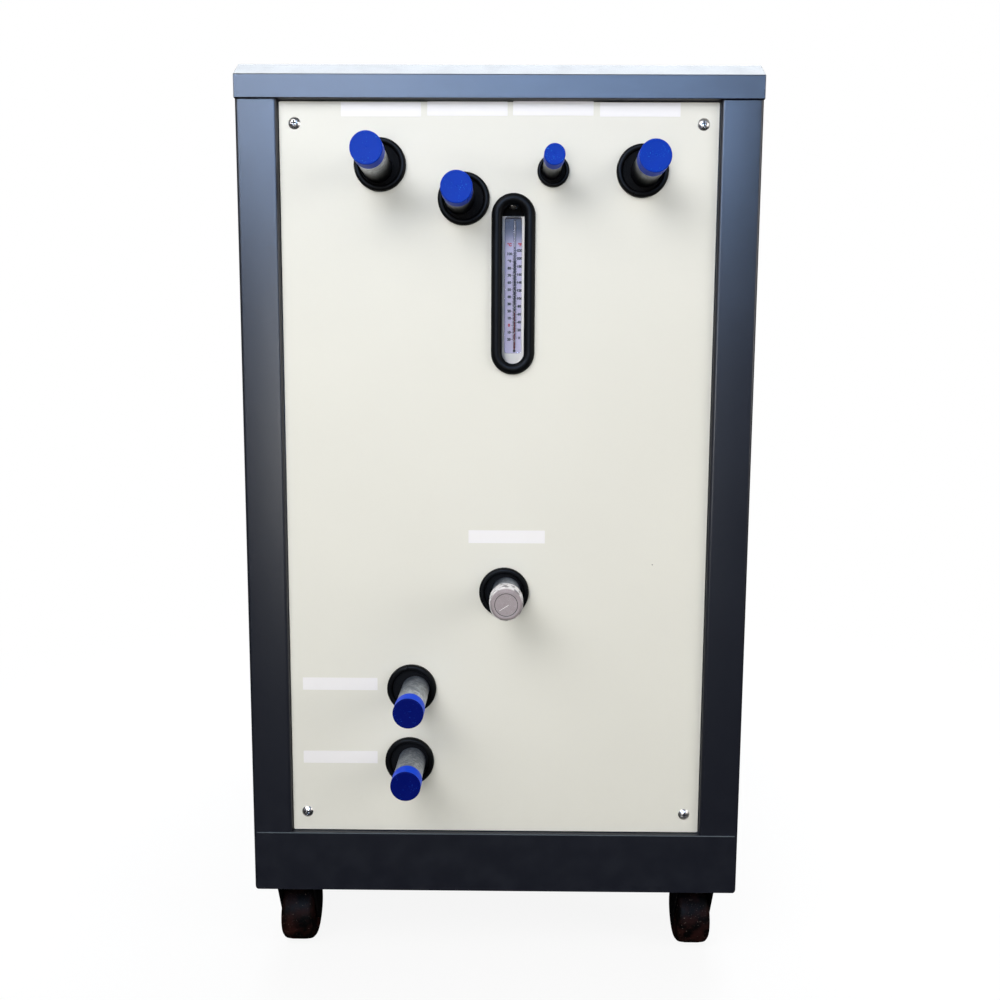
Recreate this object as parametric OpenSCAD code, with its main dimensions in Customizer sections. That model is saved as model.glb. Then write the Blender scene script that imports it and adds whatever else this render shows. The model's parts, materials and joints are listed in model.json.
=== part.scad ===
// Water cooled industrial chiller: a sheet-metal cabinet on castors that holds a water tank, a coil
// evaporator, a compressor, a shell condenser and a circulation pump.
// X runs across the pipe panel, Y from the pipe side to the service side, Z up from the floor.

/* [Cabinet] */
// Width across the corner posts
cabinet_w = 600; // [580:1:680]
// Depth from the pipe side to the service side
cabinet_d = 850; // [830:1:950]
// Gap between the floor and the skirt
floor_gap = 100; // [95:0.5:104]
// Height of the base skirt
skirt_h = 75; // [70:1:100]
// Height of the corner posts
post_h = 872; // [850:1:950]
// Width of each corner post
post_w = 48; // [42:1:52]
// Height of the lid's upright faces
lid_face_h = 26; // [20:1:45]
// Height of the lid's sloped front and back edges
lid_bevel_h = 18; // [14:1:26]
// Depth of the lid's sloped front and back edges
lid_bevel_d = 23; // [14:1:34]
// How far the lid stands out at the pipe side and the service side
lid_overhang = 3; // [2:0.5:6]
// How far the lid stands out at the left and right ends
lid_end_overhang = 0; // [0:0.5:6]
// Thickness of the frame's sheet
frame_t = 2; // [1.5:0.1:3]
// Thickness of the panels' sheet
panel_t = 2; // [1.5:0.1:3]
// How far the panels lie behind the posts' faces
panel_recess = 6.5; // [5:0.5:10]
// Gap around each panel
panel_gap = 1; // [0.6:0.1:1.6]
// Bend radius of the frame's sheet
bend_r = 4; // [3:0.5:5]

/* [Panel screws] */
// Diameter of a screw's head
screw_head_d = 14; // [12:0.5:16]
// Diameter of a screw's shank
screw_d = 6; // [5:0.5:7]
// Distance of a screw from the panel's side edge
screw_inset = 18.5; // [16:0.5:24]
// Height of the lower screws above the skirt
screw_rise = 24; // [18:1:30]
// Drop of the upper screws below the posts' tops
screw_drop = 25; // [22:1:34]

/* [Port pipes] */
// Outer diameter of a one inch pipe
pipe_d = 33.4; // [32:0.1:35]
// Wall of a one inch pipe
pipe_wall = 3.2; // [2.6:0.1:4]
// Outer diameter of the half inch pipe
small_pipe_d = 21.3; // [20:0.1:23]
// Wall of the half inch pipe
small_pipe_wall = 2.65; // [2:0.05:3.2]
// Place of the cold water outlet across the panel
cold_outlet_x = -138.8; // [-142:0.1:-132]
// Drop of the cold water outlet below the posts' tops
cold_outlet_drop = 74.3; // [68:0.1:84]
// Reach of the cold water outlet in front of the panel
cold_outlet_reach = 89; // [70:1:110]
// Place of the overflow across the panel
overflow_x = -44.9; // [-48:0.1:-38]
// Drop of the overflow below the posts' tops
overflow_drop = 108.9; // [104:0.1:120]
// Reach of the overflow in front of the panel
overflow_reach = 67; // [55:1:100]
// Place of the make-up inlet across the panel
makeup_x = 60.9; // [54:0.1:70]
// Drop of the make-up inlet below the posts' tops
makeup_drop = 75.8; // [72:0.1:88]
// Reach of the make-up inlet in front of the panel
makeup_reach = 71; // [55:1:100]
// Place of the cold water return across the panel
cold_return_x = 168.2; // [160:0.1:174]
// Drop of the cold water return below the posts' tops
cold_return_drop = 77.9; // [72:0.1:88]
// Reach of the cold water return in front of the panel
cold_return_reach = 75; // [55:1:100]
// Place of the drain across the panel
drain_x = 11.7; // [-2:0.1:20]
// Depth of the drain's axis below the tank's floor
drain_drop = 37; // [36:1:44]
// Reach of the drain in front of the panel
drain_reach = 76; // [60:1:100]
// Place of the cooling water outlet across the panel
cooling_outlet_x = -98.4; // [-102:0.1:-95]
// Height of the cooling water outlet above the skirt
cooling_outlet_rise = 181.9; // [178:0.1:185]
// Reach of the cooling water outlet in front of the panel
cooling_outlet_reach = 88; // [60:1:100]
// Place of the cooling water return across the panel
cooling_return_x = -103.1; // [-106:0.1:-100]
// Height of the cooling water return above the skirt
cooling_return_rise = 91.2; // [88:0.1:94]
// Reach of the cooling water return in front of the panel
cooling_return_reach = 77; // [55:1:100]

/* [Port caps] */
// Length of a push-on cap
cap_len = 19; // [14:0.5:26]
// Wall of a push-on cap
cap_wall = 0.85; // [0.7:0.05:1.5]
// Thickness of a push-on cap's end
cap_end_t = 1.2; // [0.8:0.1:2]
// Outer diameter of the drain cap
drain_cap_d = 39; // [38:0.5:46]
// Length of the drain cap
drain_cap_len = 28; // [20:1:36]
// Diameter of the drain cap's front face
drain_cap_face_d = 32; // [28:1:36]
// Play between a cap and its pipe
cap_play = 0.05; // [0.02:0.01:0.1]

/* [Edge trims] */
// Outer diameter of the trim round a one inch port
trim_d = 60; // [56:0.5:62]
// Width of the trim's lip round a port
trim_w = 7; // [6:0.5:8]
// How far a lip round a port stands out
trim_h = 6; // [5:0.5:8]
// Outer diameter of the trim round the half inch port
small_trim_d = 36.5; // [36:0.5:40]
// Width of the lip round the half inch port
small_trim_w = 4.5; // [4:0.1:5]
// Rubber between a hole's edge and the lip's inner edge
trim_core = 3; // [2:0.5:4]
// Outer width of the slot's trim
slot_trim_w = 51; // [48:0.5:56]
// Outer height of the slot's trim
slot_trim_h = 207; // [196:1:216]
// Width of the lip round the slot
slot_lip_w = 12.7; // [10:0.1:14]
// How far the lip round the slot stands out
slot_lip_h = 7; // [7:0.1:9]

/* [Level gauge] */
// Place of the level gauge across the panel
gauge_x = 17.5; // [12:0.5:24]
// Drop of the gauge's middle below the posts' tops
gauge_drop = 203.8; // [200:0.1:212]
// Width of the gauge's body
gauge_w = 34; // [30:1:38]
// Spacing of the gauge's two bolts
gauge_spacing = 200; // [194:1:206]
// How far the bolts' middle lies below the window's middle
gauge_bolt_fall = 6; // [0:1:10]
// How far the slot's middle lies below the window's middle
gauge_slot_fall = 1.1; // [0:0.1:3]
// Width of the gauge's window
gauge_window_w = 20; // [18:0.1:23]
// Height of the gauge's window
gauge_window_h = 158; // [150:1:164]
// Setback of the gauge's front behind the panel's face
gauge_setback = 15; // [12:0.5:18]

/* [Water tank] */
// Distance of the tank's left wall from the cold water outlet's axis
tank_left_gap = 33.8; // [32:0.1:40]
// Gap between the tank and the right side panel's outer face
tank_right_gap = 53.5; // [50:0.5:60]
// Distance of the tank's back wall from the service side's post faces
tank_rear_gap = 310; // [300:1:330]
// Height of the tank
tank_h = 490; // [480:1:500]
// Wall of the tank
tank_t = 2; // [1.5:0.1:3]
// Setback of the tank's front wall behind the panel's face
tank_setback = 33.5; // [30:0.5:38]
// Gap between the tank's lid and the posts' tops
tank_top_gap = 38; // [34:1:44]
// Thickness of the tank's shelf
shelf_t = 3; // [2:0.5:4]

/* [Evaporator coil] */
// Radius of the coil's turns
coil_r = 130; // [115:1:138]
// Diameter of the coil's tube
coil_tube_d = 16; // [12:0.5:18]
// Rise of the coil in each turn
coil_pitch = 48; // [40:1:50]
// Whole turns of the coil, which has half a turn more
coil_turns = 5; // [3:1:5]
// Height of the coil's lowest turn above the tank's floor
coil_rise = 40; // [30:1:50]

/* [Float] */
// Length of the float's arm
float_arm_len = 120; // [100:1:135]
// Radius of the float
float_r = 38; // [30:1:42]
// Angle of the arm below level when the tank is empty
float_rest = 30; // [25:1:35]

/* [Condenser] */
// Outer diameter of the condenser's shell
condenser_d = 165; // [160:1:180]
// Length of the condenser's shell
condenser_len = 535; // [500:1:550]
// Wall of the condenser's shell
condenser_t = 5; // [4:0.5:7]
// Diameter of the condenser's end covers
condenser_cover_d = 186; // [184:1:196]
// Thickness of the condenser's end covers
condenser_cover_t = 12; // [10:1:16]

/* [Compressor] */
// Diameter of the compressor's can
compressor_d = 170; // [160:1:176]
// Height of the compressor's can
compressor_h = 325; // [300:1:340]
// Place of the compressor across the cabinet
compressor_x = 125; // [120:1:130]
// Distance of the compressor's axis from the service side's post faces
compressor_inset = 145; // [140:1:150]

/* [Pump] */
// Place of the pump across the cabinet
pump_x = 120; // [115:1:125]
// Distance of the pump's casing behind the cabinet's middle, towards the pipe side
pump_setback = 165; // [160:1:170]
// Radius of the pump's casing
pump_r = 60; // [56:1:64]
// Radius of the pump's motor
motor_r = 50; // [44:1:54]
// Length of the pump's motor
motor_len = 130; // [110:1:135]

/* [Castors] */
// Diameter of a castor's wheel
wheel_d = 75; // [72:0.5:76]
// Width of a castor's wheel
wheel_w = 42; // [38:0.5:46]
// Radius of a wheel's shoulders
wheel_shoulder_r = 14; // [10:0.5:15]
// Offset of a wheel's axle behind its swivel
castor_trail = 22; // [18:0.5:24]
// Distance of a swivel from the cabinet's end
castor_inset_x = 44; // [43:0.5:50]
// Distance of a swivel from the cabinet's face
castor_inset_y = 43; // [43:0.5:50]
// Half the width of a castor's plate
castor_plate_half = 36; // [34:0.5:40]
// Half the spacing of a castor plate's bolts
castor_bolt_half = 21; // [21:0.5:24]

/* [Service side] */
// Height of the control panel
control_h = 217; // [210:1:230]
// Diameter of a pressure gauge's bezel
dial_d = 68; // [60:1:72]
// Width and height of the temperature controller's bezel
controller_w = 96; // [84:1:100]
// Diameter of a push button's cap
button_d = 22; // [18:0.5:24]
// Travel of a push button
button_travel = 3; // [2:0.5:4]
// Diameter of a hinge's knuckles
knuckle_d = 10; // [9:0.5:12]
// Reach of the door latch's handle in front of the door
latch_reach = 25; // [22:1:32]
// Bore of the power cable's gland
gland_bore_d = 13; // [10:0.5:14]

/* [Hidden] */
$fn = 48;

// Finishes
slate = "#3C444F";
cream = "#E8E6DA";
blue = "#1440C8";
rubber = "#141416";
zinc = "#B9BDC0";
stainless = "#C9CCCE";
copper = "#B87333";
black_steel = "#202226";
resin = "#2A2322";

// Clearances and overrun of the cuts
overrun = 1;
seat_gap = 0.3;
piece_gap = 0.1;
shaft_play = 0.05;

// Heights of the cabinet's levels above the floor
skirt_top = floor_gap + skirt_h;
post_top = skirt_top + post_h;
pan_lip = 6;
pan_t = 3;
pan_z = floor_gap + pan_lip;
pan_top = pan_z + pan_t;

// Faces of the cabinet, from its own middle
half_w = cabinet_w / 2;
half_d = cabinet_d / 2;
panel_y = -half_d + panel_recess;
service_y = half_d - panel_recess;
side_x = half_w - panel_recess;
opening_half = half_w - post_w;
side_opening_half = half_d - post_w;
flange_w = 30;
flange_behind = panel_recess + panel_t;

// The cabinet stands so that the whole object's box is centred over the origin
front_reach = -panel_y + max(cold_outlet_reach, overflow_reach, makeup_reach, cold_return_reach,
                             drain_reach, cooling_outlet_reach, cooling_return_reach);
back_reach = half_d + latch_reach;
cabinet_shift = (front_reach - back_reach) / 2;

// Places of the ports
cold_outlet_z = post_top - cold_outlet_drop;
overflow_z = post_top - overflow_drop;
makeup_z = post_top - makeup_drop;
cold_return_z = post_top - cold_return_drop;
cooling_outlet_z = skirt_top + cooling_outlet_rise;
cooling_return_z = skirt_top + cooling_return_rise;
gauge_z = post_top - gauge_drop;
gauge_bolt_z = gauge_z - gauge_bolt_fall;
slot_z = gauge_z - gauge_slot_fall;
pipe_r = pipe_d / 2;
small_pipe_r = small_pipe_d / 2;
pipe_bend = 1.1 * pipe_d;

// The tank and its shelf
tank_front = panel_y + tank_setback;
tank_back = half_d - tank_rear_gap;
tank_d = tank_back - tank_front;
tank_left = cold_outlet_x + tank_left_gap;
tank_w = side_x - tank_right_gap - tank_left;
tank_x = tank_left + tank_w / 2;
tank_top = post_top - tank_top_gap - tank_t;
tank_z = tank_top - tank_h;
shelf_z = tank_z - shelf_t;
drain_z = tank_z - drain_drop;
tank_hole_inset = 85;
drain_turn_y = tank_front + tank_hole_inset;

// Places of the trims from the pipes' axes, as the pipes lie off the holes' middles
trim_offsets = [[2.8, 3.6], [5, 0.7], [1.8, -1.2], [-3.3, 1.3], [-2.7, -1.4], [-4.6, 1.1], [-2.9, -0.2]];

// Ports as place across, height, reach, radius, trim diameter and trim width
ports = [[cold_outlet_x, cold_outlet_z, cold_outlet_reach, pipe_r, trim_d, trim_w],
         [overflow_x, overflow_z, overflow_reach, pipe_r, trim_d, trim_w],
         [makeup_x, makeup_z, makeup_reach, small_pipe_r, small_trim_d, small_trim_w],
         [cold_return_x, cold_return_z, cold_return_reach, pipe_r, trim_d, trim_w],
         [drain_x, drain_z, drain_reach, pipe_r, trim_d, trim_w],
         [cooling_outlet_x, cooling_outlet_z, cooling_outlet_reach, pipe_r, trim_d, trim_w],
         [cooling_return_x, cooling_return_z, cooling_return_reach, pipe_r, trim_d, trim_w]];
function trim_place(i) = [ports[i][0], ports[i][1]] + trim_offsets[i];
trim_notch_angles = [215, -64, 20, 250, 205, 100, -30];

// General shapes

// Raises a shape
module up(z) translate([0, 0, z]) children();

// Turns a shape that points up so that it points to the service side
module pointing_back() rotate([-90, 0, 0]) children();

// Turns a shape that points up so that it points to the pipe side
module pointing_front() rotate([90, 0, 0]) children();

// A plate whose outline is drawn across and up, from the local face towards the service side
module upright_plate(t) translate([0, t, 0]) rotate([90, 0, 0]) linear_extrude(t) children();

// A plate whose outline is drawn along the depth and up, from the local face towards +X
module end_plate(t) rotate([90, 0, 90]) linear_extrude(t) children();

// A centred rectangle with round corners
module rounded(w, h, r) {
    square([w - 2 * r, h], center = true);
    square([w, h - 2 * r], center = true);
    for (x = [-1, 1], z = [-1, 1])
        translate([x * (w / 2 - r), z * (h / 2 - r)]) circle(r);
}

// A centred upright slot with round ends
module slot_shape(w, h) {
    square([w, h - w], center = true);
    for (z = [-1, 1]) translate([0, z * (h - w) / 2]) circle(w / 2);
}

// A hollow cylinder
module ring(r_out, r_in, h) difference() {
    cylinder(r = r_out, h = h);
    up(-overrun) cylinder(r = r_in, h = h + 2 * overrun);
}

// A loose hole for radius r through a sheet t thick that stands on the local ground
module hole(r, t) up(-overrun) cylinder(r = r + seat_gap, h = t + 2 * overrun);

// A round crown of base radius r and height h
module crown(r, h) {
    ball_r = (r * r + h * h) / (2 * h);
    intersection() {
        up(h - ball_r) sphere(ball_r, $fn = 96);
        cylinder(r = r, h = h);
    }
}

// A cylinder from point a to point b
module rod(a, b, r) {
    d = b - a;
    translate(a) rotate([0, acos(d.z / norm(d)), atan2(d.y, d.x)]) cylinder(r = r, h = norm(d));
}

// The direction from one point of a path to the next
function way(points, i) = (points[i + 1] - points[i]) / norm(points[i + 1] - points[i]);

// The outside of a tube along points that turn squarely, with round bends
module tube_path(points, r, bend) {
    last = len(points) - 1;
    for (i = [0:last - 1]) {
        start = points[i] + (i == 0 ? 0 : bend) * way(points, i);
        end = points[i + 1] - (i == last - 1 ? 0 : bend) * way(points, i);
        rod(start, end, r);
    }
    for (i = [1:1:last - 1]) {
        u = way(points, i - 1);
        v = way(points, i);
        w = cross(u, v);
        c = points[i] + bend * (v - u);
        multmatrix([[-v.x, u.x, w.x, c.x], [-v.y, u.y, w.y, c.y], [-v.z, u.z, w.z, c.z], [0, 0, 0, 1]])
            rotate_extrude(angle = 90) translate([bend, 0]) circle(r);
    }
}

// A bent pipe with its bore
module pipe_run(points, r, wall, bend) difference() {
    tube_path(points, r, bend);
    tube_path(points, r - wall, bend);
}

// Places a shape drawn round the cabinet's own middle
module at_cabinet() translate([0, cabinet_shift, 0]) children();

// Repeats a shape in the four corners by mirroring
module four_corners() for (x = [0, 1], y = [0, 1]) mirror([x, 0, 0]) mirror([0, y, 0]) children();

// A cap screw with a cross recess whose head's seat is the local ground
module truss_screw(shank) {
    head_h = 0.23 * screw_head_d;
    recess_l = 0.45 * screw_head_d;
    recess_w = 0.1 * screw_head_d;
    difference() {
        union() {
            crown(screw_head_d / 2, head_h);
            up(-shank) cylinder(d = screw_d, h = shank + head_h / 2);
        }
        for (a = [0, 90]) rotate(a)
            translate([-recess_l / 2, -recess_w / 2, 0.4 * head_h]) cube([recess_l, recess_w, head_h]);
    }
}

// Frame

base_corner_r = 5;
module base_outline() intersection() {
    up(floor_gap) linear_extrude(skirt_h) rounded(cabinet_w, cabinet_d, bend_r);
    translate([0, -half_d - overrun, floor_gap + skirt_h])
        upright_plate(cabinet_d + 2 * overrun) rounded(cabinet_w, 2 * skirt_h, base_corner_r);
}

castor_x = half_w - castor_inset_x;
castor_y = half_d - castor_inset_y;
castor_bolt_r = 4;
gland_inset = 100;
gland_x = half_w - gland_inset;
gland_z = skirt_top - skirt_h / 2;
gland_thread_r = 0.92 * gland_bore_d;

module skirt() difference() {
    union() {
        difference() {
            base_outline();
            up(floor_gap - overrun) linear_extrude(skirt_h + 2 * overrun)
                square([cabinet_w - 2 * frame_t, cabinet_d - 2 * frame_t], center = true);
        }
        up(skirt_top - frame_t) linear_extrude(frame_t) difference() {
            square([cabinet_w - frame_t, cabinet_d - frame_t], center = true);
            square([2 * opening_half, 2 * side_opening_half], center = true);
        }
    }
    translate([gland_x, half_d - frame_t, gland_z]) pointing_back() hole(gland_thread_r, frame_t);
}

// The pan carries the machines and the castors
module pan() up(pan_z) linear_extrude(pan_t) difference() {
    inset = 2 * (frame_t + piece_gap);
    square([cabinet_w - inset, cabinet_d - inset], center = true);
    for (x = [-1, 1], y = [-1, 1], i = [-1, 1], j = [-1, 1])
        translate([x * castor_x + i * castor_bolt_half, y * castor_y + j * castor_bolt_half])
            circle(castor_bolt_r + seat_gap);
}

module base_frame() color(slate) at_cabinet() {
    skirt();
    pan();
}

// Heights of the screws that hold the panels and of the lowest screw of the control panel
lower_screw_z = skirt_top + screw_rise;
upper_screw_z = post_top - screw_drop;
control_z = post_top - panel_gap - control_h;
control_screw_z = control_z + screw_rise;
screw_x = opening_half - screw_inset;
side_screw_y = side_opening_half - screw_inset;

module corner_posts() color(slate) at_cabinet() four_corners() difference() {
    up(skirt_top) linear_extrude(post_h) {
        difference() {
            translate([half_w - post_w / 2, half_d - post_w / 2]) rounded(post_w, post_w, bend_r);
            translate([half_w - post_w / 2, half_d - post_w / 2])
                rounded(post_w - 2 * frame_t, post_w - 2 * frame_t, bend_r - frame_t);
        }
        translate([opening_half - flange_w, half_d - flange_behind - frame_t])
            square([flange_w + frame_t / 2, frame_t]);
        translate([half_w - flange_behind - frame_t, side_opening_half - flange_w])
            square([frame_t, flange_w + frame_t / 2]);
    }
    for (z = [lower_screw_z, control_screw_z, upper_screw_z]) {
        translate([screw_x, half_d - flange_behind - frame_t, z]) pointing_back() hole(screw_d / 2, frame_t);
        translate([half_w - flange_behind - frame_t, side_screw_y, z]) rotate([0, 90, 0])
            hole(screw_d / 2, frame_t);
    }
}

// The lid's end outline: inset draws the inside of its sheet
module lid_outline(inset) {
    reach = half_d + lid_overhang - inset;
    slope_x = inset * (lid_bevel_d + lid_bevel_h) / (lid_bevel_h + norm([lid_bevel_d, lid_bevel_h])) / 2;
    top = lid_face_h + lid_bevel_h - inset;
    polygon([[-reach, 0], [-reach, lid_face_h - slope_x], [-reach + lid_bevel_d - slope_x, top],
             [reach - lid_bevel_d + slope_x, top], [reach, lid_face_h - slope_x], [reach, 0]]);
}

module top_lid() color(slate) at_cabinet() up(post_top) {
    lid_half = half_w + lid_end_overhang;
    difference() {
        translate([-lid_half, 0, 0]) end_plate(2 * lid_half) lid_outline(0);
        translate([-lid_half + frame_t, 0, 0]) end_plate(2 * (lid_half - frame_t)) difference() {
            lid_outline(frame_t);
            translate([-cabinet_d, -overrun]) square([2 * cabinet_d, frame_t + overrun]);
        }
        up(-overrun) linear_extrude(frame_t + 2 * overrun)
            square([2 * opening_half, 2 * side_opening_half], center = true);
    }
}

// Panels

panel_w = 2 * (opening_half - panel_gap);
panel_h = post_h - 2 * panel_gap;
panel_mid_z = skirt_top + post_h / 2;
panel_corner_r = 2;
slot_hole_w = slot_trim_w - 2 * slot_lip_w + 2 * trim_core;
slot_hole_h = slot_trim_h - 2 * slot_lip_w + 2 * trim_core;

// Round holes at four places given by half spacings
module screw_holes(half_x, places_z) for (x = [-1, 1], z = places_z)
    translate([x * half_x, z]) circle(d = screw_d + 2 * seat_gap);

module pipe_panel() color(cream) at_cabinet() translate([0, panel_y, 0]) upright_plate(panel_t)
    difference() {
        translate([0, panel_mid_z]) rounded(panel_w, panel_h, panel_corner_r);
        screw_holes(screw_x, [lower_screw_z, upper_screw_z]);
        for (i = [0:len(ports) - 1]) translate(trim_place(i)) circle(ports[i][4] / 2 - ports[i][5] + trim_core);
        translate([gauge_x, slot_z]) slot_shape(slot_hole_w, slot_hole_h);
    }

// Pressed louvres: slots with a hood that stands out and opens downwards
louvre_w = 110;
louvre_h = 12;
louvre_reach = 5;
louvre_t = 1.5;
louvre_pitch = 24;
louvre_rows = 7;
louvre_rise = 70;

module louvre_cut() translate([0, louvre_h * 0.4])
    square([louvre_w - 2 * louvre_t, louvre_h * 0.6], center = true);

// One hood on a plate whose outside is the local ground, standing out towards the pipe side
module louvre_hood() {
    outer = [[0, louvre_h], [louvre_reach, louvre_t], [louvre_reach, 0], [0, 0]];
    inner = [[0, louvre_h - louvre_t], [louvre_reach - louvre_t, louvre_t / 2],
             [louvre_reach - louvre_t, -overrun], [-overrun, -overrun], [-overrun, louvre_h - louvre_t]];
    translate([-louvre_w / 2, 0, 0]) rotate([90, 0, 90]) mirror([1, 0, 0]) difference() {
        linear_extrude(louvre_w) polygon(outer);
        up(louvre_t) linear_extrude(louvre_w - 2 * louvre_t) polygon(inner);
    }
}

// Places a louvre in each of two columns
module louvre_rows(column_x) for (x = [-1, 1], i = [0:louvre_rows - 1])
    translate([x * column_x, skirt_top + louvre_rise + i * louvre_pitch]) children();

side_panel_w = 2 * (side_opening_half - panel_gap);
side_louvre_x = side_panel_w / 5;

// The right side panel, drawn as a plate that faces the pipe side and turned
module side_panel() rotate(90) translate([0, -side_x, 0]) {
    upright_plate(panel_t) difference() {
        translate([0, panel_mid_z]) rounded(side_panel_w, panel_h, panel_corner_r);
        screw_holes(side_screw_y, [lower_screw_z, control_screw_z, upper_screw_z]);
        louvre_rows(side_louvre_x) louvre_cut();
    }
    for (x = [-1, 1], i = [0:louvre_rows - 1])
        translate([x * side_louvre_x, 0, skirt_top + louvre_rise + i * louvre_pitch]) louvre_hood();
}
module right_side_panel() color(cream) at_cabinet() side_panel();
module left_side_panel() color(cream) at_cabinet() mirror([1, 0, 0]) side_panel();

// Control panel and what it holds

dial_r = dial_d / 2;
dial_z = control_z + 0.56 * control_h;
dial_places = [opening_half * 0.7, opening_half * 0.38];
dial_case_r = 0.9 * dial_r;
controller_z = control_z + 0.46 * control_h;
controller_case = 0.94 * controller_w;
switch_x = -0.76 * opening_half;
switch_z = dial_z;
switch_plate = 60;
switch_shaft_r = 5;
button_x = -0.45 * opening_half;
button_places = [control_z + 0.69 * control_h, control_z + 0.38 * control_h];
button_r = button_d / 2;
bezel_r = 1.32 * button_r;
bezel_t = 4;
lamp_z = control_z + 0.87 * control_h;
lamp_places = [-0.24 * opening_half, 0, 0.24 * opening_half];
lamp_r = 9;

module control_panel() color(cream) at_cabinet() translate([0, service_y - panel_t, 0]) {
    upright_plate(panel_t) difference() {
        translate([0, control_z + control_h / 2]) rounded(panel_w, control_h, panel_corner_r);
        screw_holes(screw_x, [control_screw_z, upper_screw_z]);
        for (x = dial_places) translate([x, dial_z]) circle(dial_case_r + seat_gap);
        translate([0, controller_z])
            square([controller_case + 2 * seat_gap, controller_case + 2 * seat_gap], center = true);
        translate([switch_x, switch_z]) circle(switch_shaft_r + seat_gap);
        for (z = button_places) translate([button_x, z]) circle(button_r + seat_gap + 2 * bezel_wall);
        for (x = lamp_places) translate([x, lamp_z]) circle(lamp_r + seat_gap);
    }
}

bezel_wall = 1.5;
guide_len = 12;

// The push buttons' guides with their bezels, and the main switch's plate
module control_bezels() at_cabinet() {
    color(zinc) for (z = button_places) translate([button_x, service_y, z]) pointing_back() {
        ring(bezel_r + bezel_wall, button_r + shaft_play, bezel_t);
        up(-panel_t - guide_len)
            ring(button_r + 2 * bezel_wall, button_r + shaft_play, panel_t + guide_len);
    }
    color("#E8C51E") translate([switch_x, service_y, switch_z]) pointing_back() difference() {
        linear_extrude(bezel_t) rounded(switch_plate, switch_plate, bend_r);
        up(-overrun) cylinder(r = switch_shaft_r + shaft_play, h = bezel_t + 2 * overrun);
    }
}

knob_r = 21;
knob_h = 10;
knob_bar_w = 12;
module main_switch_knob() color("#C81E1E") at_cabinet() translate([switch_x, service_y, switch_z])
    pointing_back() {
        up(-panel_t - guide_len)
            cylinder(r = switch_shaft_r, h = panel_t + guide_len + bezel_t + knob_h);
        up(bezel_t + seat_gap) cylinder(r = knob_r, h = knob_h);
        translate([-knob_bar_w / 2, -knob_r + overrun, bezel_t + knob_h / 2])
            cube([knob_bar_w, 2 * (knob_r - overrun), knob_h]);
    }

// A push button's cap with its stem, at a height on the panel
module push_button(z) at_cabinet() translate([button_x, service_y, z]) pointing_back()
    up(-guide_len) cylinder(r = button_r, h = guide_len + bezel_t + button_travel + overrun);
module start_button() color("#1E9A46") push_button(button_places[0]);
module stop_button() color("#C81E1E") push_button(button_places[1]);

module indicator_lamps() at_cabinet() for (i = [0:len(lamp_places) - 1])
    color(["#2FA84F", "#E0A020", "#D03028"][i])
        translate([lamp_places[i], service_y, lamp_z]) pointing_back() {
            up(-panel_t - guide_len) cylinder(r = lamp_r, h = panel_t + guide_len);
            cylinder(r = 1.3 * lamp_r, h = bezel_t / 2);
            up(bezel_t / 2) crown(lamp_r, lamp_r / 2);
        }

dial_rim = 3;
dial_face_t = 2;
dial_case_len = 26;
dial_depth = 8;
dial_glass_t = 2;
needle_shaft_r = 1.5;
needle_t = 0.8;
needle_z = dial_face_t + needle_t;
needle_seat = 1.5 * needle_t;
module pressure_gauges() color(black_steel) at_cabinet() for (x = dial_places)
    translate([x, service_y, dial_z]) pointing_back() {
        difference() {
            cylinder(r = dial_r, h = dial_depth + dial_face_t);
            up(dial_face_t) cylinder(r = dial_r - dial_rim, h = dial_depth + overrun);
        }
        cylinder(r = needle_shaft_r, h = needle_z + needle_seat - shaft_play);
        up(-panel_t - dial_case_len) {
            cylinder(r = dial_case_r, h = panel_t + dial_case_len);
            up(-2 * dial_depth) cylinder(r = dial_depth, h = 2 * dial_depth);
        }
    }

// A pointer at rest on the dial's low end, 45 degrees below level on the reader's left
module gauge_needle(i) color("#202020") at_cabinet() translate([dial_places[i], service_y, dial_z])
    pointing_back() difference() {
        up(needle_z) {
            cylinder(r = 2.5 * needle_shaft_r, h = 2 * needle_t);
            rotate(45) translate([-dial_r / 4, -needle_shaft_r / 2, 0])
                cube([dial_r, needle_shaft_r, needle_t]);
        }
        up(needle_z - overrun)
            cylinder(r = needle_shaft_r + shaft_play, h = overrun + needle_seat);
    }
module gauge_needle_left() gauge_needle(0);
module gauge_needle_right() gauge_needle(1);

controller_bezel_t = 7;
controller_depth = 55;
module temperature_controller() color(black_steel) at_cabinet() translate([0, service_y, controller_z])
    pointing_back() difference() {
        union() {
            linear_extrude(controller_bezel_t) rounded(controller_w, controller_w, bend_r);
            up(-panel_t - controller_depth) linear_extrude(panel_t + controller_depth)
                square(controller_case, center = true);
        }
        translate([0, -0.18 * controller_w, 0.77 * controller_bezel_t])
            linear_extrude(controller_bezel_t) square([0.8 * controller_w, 0.42 * controller_w], center = true);
        for (i = [-1.5:1.5])
            translate([i * controller_w / 5, 0.3 * controller_w, 0.88 * controller_bezel_t])
                linear_extrude(controller_bezel_t) square([controller_w / 7, controller_w / 9], center = true);
    }

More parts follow.
